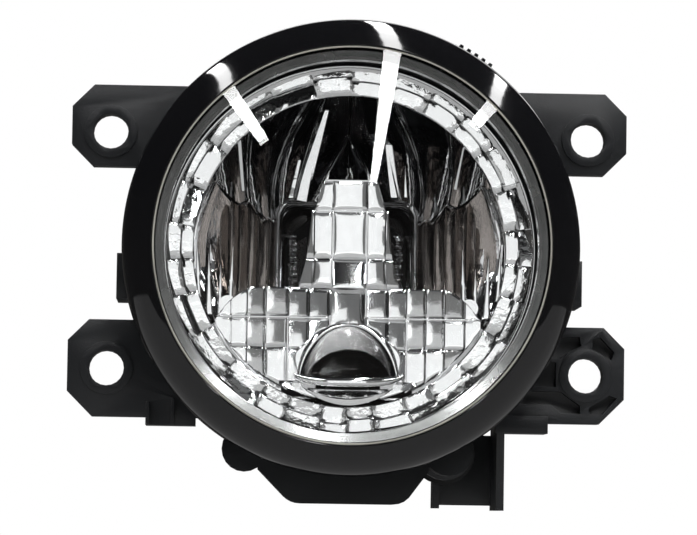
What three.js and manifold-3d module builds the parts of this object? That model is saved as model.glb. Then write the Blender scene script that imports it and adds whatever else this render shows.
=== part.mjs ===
// Round automotive fog light on a four-eared mounting bracket.
// The lamp (bezel, lens, reflector, housing) tilts in the bracket on two side pivot pins.
// A crown gear turns the aiming screw, which pushes a nut in the lamp's lower lug.
// The bulb is a bayonet type with its own holder, held in a turret on the housing's back.
//
// Units are millimetres. The lens faces -Y, +X is to the viewer's right and +Z is up.
// The origin is the centre of the four ear holes, in the plane of the ears' seating pads.

import * as THREE from 'three';
import { mergeVertices } from 'three/addons/utils/BufferGeometryUtils.js';
import Module from 'manifold-3d';

const wasm = await Module();
wasm.setup();

// ---------------------------------------------------------------- driving dimensions

const GAP = 0.3;                  // clearance between pieces that meet
const HOLE_SPACING_X = 96;
const HOLE_SPACING_Z = 47.5;
const EAR_HOLE_R = 3.5;           // M6 clearance
const PAD_R = 5.3;                // raised seating pad round each ear hole
const PLATE_FRONT = 0.5;
const PLATE_BACK = 5;
const BRACKET_BORE_R = 39;
const BRACKET_RING_R = 44.5;

const BEZEL_R = 45;
const BEZEL_INNER_R = 39;
const BEZEL_BACK = -12.4;

const LENS_APEX = -30.5;
const LENS_SPHERE_R = 111;
const LENS_R = 38.6;
const LENS_WALL = 2.6;
const LENS_SKIRT_INNER_R = 37.2;
const LENS_SKIRT_BACK = -16;

const FLANGE_R = 43.2;
const FLANGE_FRONT = -14.6;
const FLANGE_BACK = -12.2;
const LEDGE_Y = -6.9;             // seat of the reflector's rim inside the housing

const REFLECTOR_RIM_R = 37.1;
const REFLECTOR_BAND_R = 31;      // inner edge of the faceted outer band
const REFLECTOR_APEX = 18;
const REFLECTOR_FOCAL = 42;       // 4 x focal length of the paraboloid
const REFLECTOR_WALL = 1.6;

const PIVOT_Y = -6;
const PIVOT_Z = -6;
const PIVOT_PIN_R = 1.6;

const SCREW_X = 20;
const SCREW_Z = -39.6;
const SCREW_R = 2;

const BULB_TILT = THREE.MathUtils.degToRad(30);
const BULB_SEAT = new THREE.Vector3(0, 28.6, -3.7);   // centre of the bulb's reference plane
const BULB_TIP = 44;              // glass tip ahead of the reference plane
const CAP_BACK = 37;              // shade cap's two ends ahead of the reference plane
const CAP_FRONT = 47.5;
const CAP_R = 8.5;

const ROUND = 40;                 // facets round a large turned piece
const SMALL_ROUND = 20;

// ---------------------------------------------------------------- materials

const finish = (color, roughness, metalness = 0) =>
  new THREE.MeshStandardMaterial({ color, roughness, metalness });

const GLOSS_BLACK = finish(0x0a0b0c, 0.12);
const SATIN_BLACK = finish(0x1e2124, 0.5);
const HOUSING_BLACK = finish(0x17191b, 0.55);
const CHROME = finish(0xe6e8ea, 0.08, 1);
const CLEAR_GLASS = finish(0xf2f6f8, 0.05);
CLEAR_GLASS.transparent = true;
CLEAR_GLASS.opacity = 0.25;
const RUBBER = finish(0x141414, 0.85);
const NYLON = finish(0x1c1c1e, 0.45);
const STEEL = finish(0xb9bdc1, 0.35, 1);
const BRASS = finish(0xc9a35a, 0.35, 1);
const TUNGSTEN = finish(0x8c8c8c, 0.4, 1);
const MEMBRANE = finish(0xf4f4f2, 0.9);

// ---------------------------------------------------------------- solids

// Six times the signed volume of a triangle mesh: negative when it is inside out.
function signedVolume(points, triangles) {
  const [a, b, c] = [new THREE.Vector3(), new THREE.Vector3(), new THREE.Vector3()];
  let sum = 0;
  for (let i = 0; i < triangles.length; i += 3) {
    a.fromArray(points, triangles[i] * 3);
    b.fromArray(points, triangles[i + 1] * 3);
    c.fromArray(points, triangles[i + 2] * 3);
    sum += a.dot(b.cross(c));
  }
  return sum;
}

// A closed geometry as a manifold solid with its faces pointing out.
function solid(geometry) {
  geometry.deleteAttribute('normal');
  geometry.deleteAttribute('uv');
  const merged = mergeVertices(geometry, 1e-4);
  const points = merged.attributes.position.array;
  const index = merged.index.array;
  let triangles = [];
  for (let i = 0; i < index.length; i += 3) {
    const [a, b, c] = [index[i], index[i + 1], index[i + 2]];
    if (a !== b && b !== c && c !== a) triangles.push(a, b, c);
  }
  if (signedVolume(points, triangles) < 0) triangles = triangles.reverse();
  return new wasm.Manifold(new wasm.Mesh({
    numProp: 3,
    vertProperties: Float32Array.from(points),
    triVerts: Uint32Array.from(triangles),
  }));
}

function toGeometry(manifold) {
  const mesh = manifold.getMesh();
  const geometry = new THREE.BufferGeometry();
  geometry.setAttribute('position', new THREE.BufferAttribute(mesh.vertProperties, 3));
  geometry.setIndex(new THREE.BufferAttribute(mesh.triVerts, 1));
  return geometry;
}

const join = (first, ...others) => others.reduce((whole, piece) => whole.add(piece), first);
const cut = (first, ...others) => others.reduce((whole, piece) => whole.subtract(piece), first);

// A solid turned about the Y axis from a closed profile of [radius, y] pairs.
function turned(profile, segments = ROUND) {
  const points = profile.map(([radius, y]) => new THREE.Vector2(radius, y));
  const [first, last] = [points[0], points[points.length - 1]];
  if (first.x > 0 || last.x > 0) points.push(first.clone());
  return solid(new THREE.LatheGeometry(points, segments));
}

const place = (geometry, x = 0, y = 0, z = 0) => solid(geometry.translate(x, y, z));

function block([x0, x1], [y0, y1], [z0, z1]) {
  const box = new THREE.BoxGeometry(x1 - x0, y1 - y0, z1 - z0);
  return place(box, (x0 + x1) / 2, (y0 + y1) / 2, (z0 + z1) / 2);
}

// A round bar along Y, centred at (x, z).
function barY(radius, [y0, y1], x = 0, z = 0, segments = SMALL_ROUND) {
  return place(new THREE.CylinderGeometry(radius, radius, y1 - y0, segments), x, (y0 + y1) / 2, z);
}

// A round bar along X, centred at (y, z).
function barX(radius, [x0, x1], y, z, segments = SMALL_ROUND) {
  const bar = new THREE.CylinderGeometry(radius, radius, x1 - x0, segments).rotateZ(Math.PI / 2);
  return place(bar, (x0 + x1) / 2, y, z);
}

// A plate whose outline lies in the XZ plane, between two depths along Y.
function plate(outline, [y0, y1], curveSegments = 8) {
  const options = { depth: y1 - y0, bevelEnabled: false, curveSegments };
  return place(new THREE.ExtrudeGeometry(outline, options).rotateX(Math.PI / 2), 0, y1, 0);
}

const polygon = (points) => new THREE.Shape(points.map(([x, z]) => new THREE.Vector2(x, z)));

const mirrored = (points) => points.map(([x, z]) => [-x, z]).reverse();

// Moves a solid modelled on the bulb's own axes to the bulb's place in the lamp.
// On those axes the origin is the reference plane's centre and -Y points at the glass tip.
function onBulbAxis(manifold) {
  const matrix = new THREE.Matrix4().makeRotationX(BULB_TILT).setPosition(BULB_SEAT);
  return solid(toGeometry(manifold).applyMatrix4(matrix));
}

function sphereArc(radius, apexY, toRadius, steps) {
  return Array.from({ length: steps + 1 }, (_, i) => {
    const r = (toRadius * i) / steps;
    return [r, apexY + radius - Math.sqrt(radius * radius - r * r)];
  });
}

// ---------------------------------------------------------------- mounting bracket

// Outline of one right-hand ear: a plate with its two outer corners chamfered.
function earOutline(bottom, top, bottomChamfer, topChamfer) {
  const inner = 28;
  const outer = HOLE_SPACING_X / 2 + 7.8;
  return [
    [inner, bottom], [outer - bottomChamfer, bottom], [outer, bottom + bottomChamfer],
    [outer, top - topChamfer], [outer - topChamfer, top], [inner, top],
  ];
}

// Moulded recesses round the boss of the lower right ear, as outlines about its hole.
const EAR_POCKETS = [
  [[1.4, 7.4], [3, 7.8], [5.8, 4.8], [5.2, 3.2], [1.3, 5.4]],
  [[-9, 7.8], [-1.2, 7.8], [-0.9, 6], [-3.2, 4.8], [-4.8, 3.4], [-9, 3.4]],
  [[-13, 2.6], [-5.9, 2.6], [-5.9, -2.3], [-13, -2.3]],
  [[-13, -3.2], [-5, -3.2], [-1, -6], [-1, -7.6], [-4.8, -7.6], [-6.8, -5.9], [-13, -5.9]],
  [[0.8, -6.4], [4.9, -3.9], [6.4, -4.4], [3.4, -7.8], [0.9, -7.8]],
];

function mountingBracket() {
  const holeX = HOLE_SPACING_X / 2;
  const holeZ = HOLE_SPACING_Z / 2;
  const earDepth = [PLATE_FRONT, 4.5];
  const upperEar = earOutline(holeZ - 7, holeZ + 9.4, 4.4, 4.4);
  const lowerEar = earOutline(-holeZ - 9.7, -holeZ + 9.7, 5, 4.2);

  let bracket = barY(BRACKET_RING_R, [PLATE_FRONT, PLATE_BACK], 0, 0, 48);
  for (const ear of [upperEar, lowerEar]) {
    bracket = join(bracket, plate(polygon(ear), earDepth), plate(polygon(mirrored(ear)), earDepth));
  }
  bracket = cut(bracket, barY(BRACKET_BORE_R, [-5, 10], 0, 0, 48));

  for (const x of [-holeX, holeX]) {
    for (const z of [-holeZ, holeZ]) {
      bracket = join(bracket, barY(PAD_R, [0, PLATE_FRONT + 1], x, z));
      bracket = cut(bracket, barY(EAR_HOLE_R, [-2, 8], x, z));
    }
  }

  for (const pocket of EAR_POCKETS) {
    const outline = pocket.map(([x, z]) => [holeX + x, z - holeZ]);
    bracket = cut(bracket, plate(polygon(outline), [PLATE_FRONT - 1, 2.7]));
  }

  // Side arms that carry the lamp's pivot pins.
  for (const side of [-1, 1]) {
    const armX = [43.2, 46].map((x) => x * side).sort((a, b) => a - b);
    bracket = join(bracket, block(armX, [-10.5, 4.5], [PIVOT_Z - 4.5, PIVOT_Z + 4.5]));
  }
  bracket = cut(bracket, barX(PIVOT_PIN_R + GAP, [-50, 50], PIVOT_Y, PIVOT_Z));

  // Stiffening lips under the lower ears, with two gussets on the left one.
  bracket = join(bracket,
    block([-40, -30], [PLATE_FRONT, 9], [-35, -32.2]),
    block([-40, -39.2], [-0.4, 1], [-35, -30.4]),
    block([-35, -34.2], [-0.4, 1], [-35, -29.6]),
    block([30, 40.5], [-0.4, 9], [-35.5, -32]));

  // Bearing boss of the aiming screw.
  bracket = join(bracket, barY(5.5, [PLATE_FRONT, PLATE_BACK], SCREW_X, SCREW_Z));
  bracket = cut(bracket, barY(SCREW_R + 0.35, [-2, 8], SCREW_X, SCREW_Z));

  // Guide channel that leads a screwdriver up to the crown gear.
  return join(bracket,
    block([30.3, 31.9], [PLATE_FRONT, 17], [-51, -32]),
    block([18.2, 31.9], [15.5, 17], [-50, -35.7]),
    block([18.2, 19.6], [10.8, 17], [-50.7, -35.7]));
}

// ---------------------------------------------------------------- aiming screw

const aimScrew = () => barY(SCREW_R, [-9.3, 10.6], SCREW_X, SCREW_Z, 16);

function crownGear() {
  const [front, root, tip] = [5.6, 7.8, 9.8];
  const toothCount = 12;
  let gear = barY(6.3, [front, root], SCREW_X, SCREW_Z, 24);
  for (let i = 0; i < toothCount; i += 1) {
    const tooth = new THREE.BoxGeometry(3, tip - root + 0.5, 1.3).translate(4.7, 0, 0);
    tooth.rotateY((i * 2 * Math.PI) / toothCount);
    gear = join(gear, place(tooth, SCREW_X, (root + tip - 0.5) / 2, SCREW_Z));
  }
  return cut(gear, barY(SCREW_R + GAP, [0, 12], SCREW_X, SCREW_Z, 16));
}

const ringY = (outer, inner, depth, x, z, segments) =>
  cut(barY(outer, depth, x, z, segments), barY(inner, [depth[0] - 1, depth[1] + 1], x, z, segments));

const screwClip = () => ringY(4.2, SCREW_R + GAP, [-0.6, 0.2], SCREW_X, SCREW_Z, 16);

const aimNut = () => ringY(3.4, SCREW_R + 0.4, [-9.3, -4.3], SCREW_X, SCREW_Z, 16);

// ---------------------------------------------------------------- bezel, lens and seal

function bezelRing() {
  const ring = turned([
    [BEZEL_INNER_R, -21.6], [BEZEL_INNER_R, -23.9], [40.6, -23.3], [42.3, -22.2],
    [43.7, -20.7], [44.6, -19.2], [BEZEL_R, -17.6], [BEZEL_R, BEZEL_BACK],
    [43.6, BEZEL_BACK], [43.6, -17.2], [42.6, -19.4], [41, -21],
  ], 56);
  // Ribbed clip tab on the rim.
  const tabAngle = THREE.MathUtils.degToRad(58.5);
  const tab = [new THREE.BoxGeometry(1.4, 4.6, 8.4).translate(44.4, -14.7, 0)];
  for (const offset of [-3, -1, 1, 3]) {
    tab.push(new THREE.BoxGeometry(1, 4.6, 0.8).translate(45.2, -14.7, offset));
  }
  return join(ring, ...tab.map((piece) => place(piece.rotateY(-tabAngle))));
}

function lens() {
  const innerApex = LENS_APEX + LENS_WALL;
  const outside = sphereArc(LENS_SPHERE_R, LENS_APEX, LENS_R, 6);
  const inside = sphereArc(LENS_SPHERE_R - LENS_WALL, innerApex, LENS_SKIRT_INNER_R, 6).reverse();
  return turned([...outside, [LENS_R, LENS_SKIRT_BACK], [LENS_SKIRT_INNER_R, LENS_SKIRT_BACK],
    ...inside]);
}

const lensSeal = () => turned([[37.5, -15.9], [39.2, -15.9], [39.2, -14.7], [37.5, -14.7]]);

// ---------------------------------------------------------------- lamp housing

// Outside of the bowl from the flange to its back, as [radius, y].
const BOWL = [[40.5, -9.5], [38.8, -5], [36.6, 0], [34, 5], [30, 11], [24, 17], [15, 22.6], [0, 26]];
const BOWL_INSIDE = [[36.6, LEDGE_Y], [36.4, -5], [34.4, -0.6], [31.9, 4], [28.1, 9.7], [22.6, 15.2],
  [14.3, 20.4], [0, 23.6]];

// The turret on the bowl's back, on the bulb's axes, tapers into the bowl round the glass.
const TURRET = [[0, 3], [17.3, 3], [17.3, -6], [10, -24], [0, -24]];
const TURRET_INSIDE = [[0, -2.8], [13.2, -2.8], [13.2, -6.5], [8, -21], [8, -30], [0, -30]];

function paraboloid(shift, toRadius, steps) {
  return Array.from({ length: steps + 1 }, (_, i) => {
    const r = (toRadius * i) / steps;
    return [r, REFLECTOR_APEX + shift - (r * r) / REFLECTOR_FOCAL];
  });
}

// Outline of the breather chamber that hangs below the lens ring.
function chamberOutline(inset) {
  const foot = -50.2 + inset;
  const shape = new THREE.Shape();
  shape.moveTo(-17.5 + inset, -30);
  shape.lineTo(-17.5 + inset, -43.6);
  shape.lineTo(-12.4 + inset / 2, foot + 1.4);
  shape.quadraticCurveTo(-11 + inset / 2, foot, -9 + inset / 2, foot);
  shape.lineTo(9 - inset / 2, foot);
  shape.quadraticCurveTo(11.6 - inset / 2, foot, 13 - inset / 2, foot + 2.4);
  shape.lineTo(16.1 - inset, -43.6);
  shape.lineTo(16.1 - inset, -30);
  return shape;
}

const LUGS = [{ x: SCREW_X, z: SCREW_Z, r: 4.8 }, { x: -20.2, z: -39.6, r: 4.5 }];
const VENT = { x: 20, z: 20, r: 4.2, back: 22 };

function lampHousing() {
  const backOfFlange = FLANGE_BACK + 0.1;
  let body = turned([[0, FLANGE_FRONT], [FLANGE_R, FLANGE_FRONT], [FLANGE_R, FLANGE_BACK],
    [40.5, FLANGE_BACK], ...BOWL]);
  body = join(body,
    barX(4.2, [-42.7, 42.7], PIVOT_Y, PIVOT_Z),
    plate(chamberOutline(0), [backOfFlange, -2.8], 4),
    barY(VENT.r, [4, VENT.back], VENT.x, VENT.z));
  for (const lug of LUGS) {
    body = join(body, barY(lug.r, [backOfFlange, -4], lug.x, lug.z));
    const web = new THREE.BoxGeometry(5, -4 - backOfFlange, 9);
    web.rotateY(Math.atan2(lug.x, lug.z));
    body = join(body, place(web, lug.x * 0.93, (backOfFlange - 4) / 2, lug.z * 0.93));
  }
  body = cut(body,
    turned([[0, FLANGE_FRONT - 1], [37.5, FLANGE_FRONT - 1], [37.5, LEDGE_Y], ...BOWL_INSIDE]),
    plate(chamberOutline(2), [backOfFlange + 2, -4.8], 4),
    barX(PIVOT_PIN_R + GAP, [39.3, 50], PIVOT_Y, PIVOT_Z),
    barX(PIVOT_PIN_R + GAP, [-50, -39.3], PIVOT_Y, PIVOT_Z),
    barY(3.7, [-11.5, 0], SCREW_X, SCREW_Z),
    barY(2.6, [0, 30], VENT.x, VENT.z));

  // Bulb turret, kept clear of the reflector's back.
  const reflectorSide = turned([[0, -30], [60, -30], ...paraboloid(2.6, 42, 8).reverse()], 24);
  const turret = cut(onBulbAxis(turned(TURRET, 28)), reflectorSide);
  const inside = onBulbAxis(turned(TURRET_INSIDE, 28));
  const seatRecess = onBulbAxis(barY(15.4, [-0.3, 30], 0, 0, 28));
  const mouth = onBulbAxis(barY(10.2, [-4, 4], 0, 0, 28));
  return cut(join(body, turret), inside, seatRecess, mouth, ...BAYONET_ANGLES.map(bayonetNotch));
}

// The three slots in the turret's rim let the bulb's lugs in at the unlocked angle.
const BAYONET_ANGLES = [0, 1, 2].map((i) => (i * 2 * Math.PI) / 3);
const UNLOCK_ANGLE = THREE.MathUtils.degToRad(40);

function bayonetNotch(angle) {
  const notch = new THREE.BoxGeometry(4, 6, 6).translate(10.8, 0, 0);
  return onBulbAxis(place(notch.rotateY(angle + UNLOCK_ANGLE)));
}

function pivotPin(side) {
  const span = [39.6 * side, 45.6 * side].sort((a, b) => a - b);
  return barX(PIVOT_PIN_R, span, PIVOT_Y, PIVOT_Z, 16);
}

const ventMembrane = () => barY(4, [VENT.back + 0.1, VENT.back + 0.5], VENT.x, VENT.z);

function ventCap() {
  const outside = barY(5.6, [18.4, 24.6], VENT.x, VENT.z);
  return cut(outside, barY(VENT.r + GAP, [17, 22.8], VENT.x, VENT.z));
}

// ---------------------------------------------------------------- reflector, shield and cap

// The opening that the bulb reaches through: a flat top with rounded corners and a round bottom.
function bulbOpening() {
  const [halfWidth, top, bottom, cornerR] = [12.7, 9.6, -29, 4];
  const shape = new THREE.Shape();
  shape.absarc(halfWidth - cornerR, top - cornerR, cornerR, 0, Math.PI / 2, false);
  shape.absarc(cornerR - halfWidth, top - cornerR, cornerR, Math.PI / 2, Math.PI, false);
  shape.absarc(0, bottom + halfWidth, halfWidth, Math.PI, 2 * Math.PI, false);
  return shape;
}

const RIVET_X = 24;
const RIVET_Z = -11;

function reflector() {
  const front = paraboloid(0, REFLECTOR_BAND_R, 7);
  const back = paraboloid(REFLECTOR_WALL, REFLECTOR_BAND_R, 7).reverse();
  const rimY = -9.3;
  const dish = turned([...front, [REFLECTOR_RIM_R, rimY],
    [REFLECTOR_RIM_R, rimY + REFLECTOR_WALL], ...back]);
  return cut(dish,
    plate(bulbOpening(), [-10, 25]),
    barY(1.4, [-10, 10], RIVET_X, RIVET_Z, 12),
    barY(1.4, [-10, 10], -RIVET_X, RIVET_Z, 12));
}

// Outline of the light shield: a stepped column that widens into a winged skirt.
function shieldOutline() {
  const skirtR = 30.4;
  const skirtZ = -19.4;
  const skirtX = Math.sqrt(skirtR * skirtR - skirtZ * skirtZ);
  const skirtAngle = Math.atan2(skirtZ, skirtX);
  const shape = new THREE.Shape();
  shape.moveTo(-4.5, 13);
  shape.lineTo(-6.8, 7.5);
  shape.lineTo(-8, -2);
  shape.lineTo(-10, -7.6);
  shape.lineTo(-23, -8.4);
  shape.quadraticCurveTo(-26.4, -9, -26.4, -11.2);
  shape.quadraticCurveTo(-26.2, -13.6, -24, -14);
  shape.lineTo(-skirtX, skirtZ);
  shape.absarc(0, 0, skirtR, Math.PI - skirtAngle, 2 * Math.PI + skirtAngle, false);
  shape.lineTo(24, -14);
  shape.quadraticCurveTo(26.2, -13.6, 26.4, -11.2);
  shape.quadraticCurveTo(26.4, -9, 23, -8.4);
  shape.lineTo(10, -7.6);
  shape.lineTo(8, -2);
  shape.lineTo(6.8, 7.5);
  shape.lineTo(4.5, 13);
  return shape;
}

const bulbCapsule = (radius, centre) => onBulbAxis(turned([[0, 5 - centre], [radius, 5 - centre],
  ...[0, 1, 2, 3, 4].map((i) => {
    const a = (i * Math.PI) / 8;
    return [radius * Math.cos(a), -centre - radius * Math.sin(a)];
  })], 24));

function lightShield() {
  const shelf = block([-11, 11], [-16, -5.5], [-28, -26.5]);
  const face = plate(shieldOutline(), [-8, -5.5], 6);
  const glassRoom = 6.9;
  return join(
    cut(face, onBulbAxis(barY(CAP_R + GAP, [-50, -20], 0, 0, 28))),
    cut(shelf, bulbCapsule(glassRoom, BULB_TIP - glassRoom + 0.7)),
    barY(1.8, [-6, -1.3], RIVET_X, RIVET_Z, 14),
    barY(1.8, [-6, -1.3], -RIVET_X, RIVET_Z, 14));
}

function shieldRivet(side) {
  const x = side * RIVET_X;
  return join(barY(1.1, [-1, 6], x, RIVET_Z, 12), barY(1.7, [5.4, 6.4], x, RIVET_Z, 12));
}

// A black cup over the bulb's tip, cut flat below where it stands on the shield's ledge.
function shadeCap() {
  const [wall, edge] = [0.8, 0.5];
  const innerR = CAP_R - wall;
  const cup = turned([[innerR, -CAP_BACK], [CAP_R, -CAP_BACK], [CAP_R, edge - CAP_FRONT],
    [CAP_R - edge, -CAP_FRONT], [0, -CAP_FRONT], [0, wall - CAP_FRONT],
    [innerR - edge, wall - CAP_FRONT], [innerR, wall + edge - CAP_FRONT]], 28);
  return cut(onBulbAxis(cup), block([-20, 20], [-30, 20], [-60, -26.2]));
}

// ---------------------------------------------------------------- bulb, on the bulb's axes

const CONNECTOR = { mouth: -28, floor: -10, y: [4.2, 18], z: 8, wall: 1.8 };
const TERMINAL_Z = 3;

function bulbBase() {
  let base = turned([[0, 13], [9, 13], [11.5, 11], [11.5, 3.7], [14.9, 3.7], [14.9, 1.5],
    [9.6, 1.5], [9.6, -6], [7.5, -6], [7.5, -1], [0, -1]], 28);
  for (const angle of BAYONET_ANGLES) {
    const lug = new THREE.BoxGeometry(4, 1.8, 4).translate(10.2, -4, 0);
    base = join(base, place(lug.rotateY(angle)));
  }
  const { mouth, floor, y, z, wall } = CONNECTOR;
  base = join(base, block([mouth, 0], y, [-z, z]), block([-21, -16], [17, 19.4], [-3, 3]));
  base = cut(base, block([mouth - 1, floor], [y[0] + wall, y[1] - wall], [-z + wall, z - wall]));
  for (const side of [-1, 1]) {
    const slot = [side * TERMINAL_Z - 1.7, side * TERMINAL_Z + 1.7];
    base = cut(base, block([floor - 1, -6], [10.4, 11.8], slot));
  }
  return base;
}

const terminal = (side) =>
  block([-24, -6.4], [10.7, 11.5], [side * TERMINAL_Z - 1.4, side * TERMINAL_Z + 1.4]);

function bulbSeal() {
  const [ringR, sectionR, centreY, steps] = [13.85, 0.65, 0.75, 8];
  const profile = Array.from({ length: steps }, (_, i) => {
    const a = (i * 2 * Math.PI) / steps;
    return [ringR + sectionR * Math.cos(a), centreY + sectionR * Math.sin(a)];
  });
  return turned(profile, 28);
}

const bulbCollar = () => turned([[6.2, -1.3], [7.2, -1.3], [7.2, -11], [6.2, -11]], 24);

const GLASS_R = 6;
const GLASS_SHOULDER = 38;

// Half an ellipse from the glass's shoulder to its tip.
function tipArc(radius, tip, steps = 4) {
  return Array.from({ length: steps + 1 }, (_, i) => {
    const a = (i * Math.PI) / (2 * steps);
    return [radius * Math.cos(a), -GLASS_SHOULDER - (tip - GLASS_SHOULDER) * Math.sin(a)];
  });
}

const bulbGlass = () => turned([[GLASS_R - 0.9, -1.6], [GLASS_R, -1.6],
  ...tipArc(GLASS_R, BULB_TIP), ...tipArc(GLASS_R - 0.9, BULB_TIP - 0.9).reverse()], 24);

const tipCoating = () => turned([[GLASS_R + 0.1, -36.6], [GLASS_R + 0.35, -36.6],
  ...tipArc(GLASS_R + 0.35, BULB_TIP + 0.4), ...tipArc(GLASS_R + 0.1, BULB_TIP + 0.1).reverse()], 24);

const filament = () => barY(0.8, [-27.3, -22.7], 0, 0, 12);

const leadWire = (x, reach) => barY(0.35, [-reach, -2], x, 0, 10);

// ---------------------------------------------------------------- assembly

const bracket = new THREE.Group();
const lamp = new THREE.Group();
const bulb = new THREE.Group();
bulb.position.copy(BULB_SEAT);
bulb.rotation.x = BULB_TILT;

function addTo(group, name, manifold, material) {
  const mesh = new THREE.Mesh(toGeometry(manifold), material);
  mesh.name = name;
  group.add(mesh);
}

addTo(bracket, 'mounting_bracket', mountingBracket(), SATIN_BLACK);
addTo(bracket, 'aim_screw', aimScrew(), STEEL);
addTo(bracket, 'crown_gear', crownGear(), NYLON);
addTo(bracket, 'screw_clip', screwClip(), STEEL);

addTo(lamp, 'lamp_housing', lampHousing(), HOUSING_BLACK);
addTo(lamp, 'reflector', reflector(), CHROME);
addTo(lamp, 'light_shield', lightShield(), CHROME);
addTo(lamp, 'shade_cap', shadeCap(), GLOSS_BLACK);
addTo(lamp, 'lens', lens(), CLEAR_GLASS);
addTo(lamp, 'lens_seal', lensSeal(), RUBBER);
addTo(lamp, 'bezel_ring', bezelRing(), GLOSS_BLACK);
addTo(lamp, 'aim_nut', aimNut(), NYLON);
addTo(lamp, 'vent_membrane', ventMembrane(), MEMBRANE);
addTo(lamp, 'vent_cap', ventCap(), RUBBER);
for (const [name, side] of [['left', -1], ['right', 1]]) {
  addTo(lamp, `pivot_pin_${name}`, pivotPin(side), STEEL);
  addTo(lamp, `shield_rivet_${name}`, shieldRivet(side), STEEL);
}

addTo(bulb, 'bulb_base', bulbBase(), HOUSING_BLACK);
addTo(bulb, 'bulb_seal', bulbSeal(), RUBBER);
addTo(bulb, 'bulb_collar', bulbCollar(), STEEL);
addTo(bulb, 'bulb_glass', bulbGlass(), CLEAR_GLASS);
addTo(bulb, 'bulb_tip_coating', tipCoating(), GLOSS_BLACK);
addTo(bulb, 'filament', filament(), TUNGSTEN);
addTo(bulb, 'lead_wire_left', leadWire(-2.2, 22.3), TUNGSTEN);
addTo(bulb, 'lead_wire_right', leadWire(2.2, 28.4), TUNGSTEN);
for (const [name, side] of [['left', -1], ['right', 1]]) {
  addTo(bulb, `terminal_${name}`, terminal(side), BRASS);
}

const fogLight = new THREE.Group();
fogLight.add(bracket, lamp, bulb);

export default fogLight;
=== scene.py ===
import math
import bmesh
import bpy
import numpy as np
from mathutils import Euler, Matrix, Vector


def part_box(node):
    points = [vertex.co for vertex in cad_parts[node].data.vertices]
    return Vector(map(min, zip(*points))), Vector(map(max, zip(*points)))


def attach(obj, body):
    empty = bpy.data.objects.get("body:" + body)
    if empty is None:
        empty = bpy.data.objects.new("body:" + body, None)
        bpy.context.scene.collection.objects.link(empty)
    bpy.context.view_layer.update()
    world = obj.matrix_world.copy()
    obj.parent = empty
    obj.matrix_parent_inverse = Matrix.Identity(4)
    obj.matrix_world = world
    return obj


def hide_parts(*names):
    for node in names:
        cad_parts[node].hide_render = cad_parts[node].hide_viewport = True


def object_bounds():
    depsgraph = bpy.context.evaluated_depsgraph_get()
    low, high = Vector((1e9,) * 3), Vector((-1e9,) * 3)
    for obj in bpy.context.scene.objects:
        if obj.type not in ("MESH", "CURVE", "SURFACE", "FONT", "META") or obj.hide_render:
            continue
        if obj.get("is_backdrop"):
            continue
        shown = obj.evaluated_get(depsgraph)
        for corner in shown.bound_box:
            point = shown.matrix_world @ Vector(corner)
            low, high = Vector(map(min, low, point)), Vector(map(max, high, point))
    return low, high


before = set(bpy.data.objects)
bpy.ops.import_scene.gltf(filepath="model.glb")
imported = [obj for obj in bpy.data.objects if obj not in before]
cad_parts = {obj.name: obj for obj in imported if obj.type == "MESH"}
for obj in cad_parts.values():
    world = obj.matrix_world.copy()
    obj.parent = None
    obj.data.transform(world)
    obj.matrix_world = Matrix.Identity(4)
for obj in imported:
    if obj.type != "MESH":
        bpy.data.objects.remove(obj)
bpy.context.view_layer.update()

# ---------------------------------------------------------------- camera
# The camera stands 0.7 m in front of the lens ring, a little left of the lens axis and a
# little below it, with a long lens, so that the ears behind the ring look barely smaller.

bezel_low, bezel_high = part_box("bezel_ring")
ring_middle = (bezel_low + bezel_high) / 2
framing_offset = Vector((-0.00055, 0, -0.0041))
camera_target = ring_middle + framing_offset
camera_azimuth, camera_elevation = math.radians(-2), math.radians(-4)
camera_distance = 0.7
camera_back = Vector((
    math.sin(camera_azimuth) * math.cos(camera_elevation),
    -math.cos(camera_azimuth) * math.cos(camera_elevation),
    math.sin(camera_elevation),
))
camera = bpy.data.objects.new("camera", bpy.data.cameras.new("camera"))
camera.data.sensor_width = 36
camera.data.lens = 185
camera.location = camera_target + camera_distance * camera_back
look = (-camera_back).to_track_quat("-Z", "Y").to_matrix().to_4x4()
camera_roll = math.radians(0.9)
camera.rotation_euler = (look @ Euler((0, 0, camera_roll)).to_matrix().to_4x4()).to_euler()
bpy.context.scene.collection.objects.link(camera)
bpy.context.scene.camera = camera
bpy.context.scene.view_settings.view_transform = "Standard"

# ---------------------------------------------------------------- studio
# A plain pale floor below the lamp, white all round for the camera, three long tube lights on
# the ceiling that run away from the lamp, and soft panels in front of and behind it.


class Wire:
    """An output socket that takes part in Python arithmetic: each operator adds a Math node."""

    def __init__(self, shader, socket):
        self.shader, self.socket = shader, socket

    def math(self, operation, *values):
        """One Math node on these values, in their order."""
        return self.shader.node("ShaderNodeMath", {"operation": operation}, dict(enumerate(values)))

    def __add__(self, other):
        return self.math("ADD", self, other)

    def __mul__(self, other):
        return self.math("MULTIPLY", self, other)

    def __pow__(self, power):
        return self.math("POWER", self, power)

    __radd__ = __add__
    __rmul__ = __mul__


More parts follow.
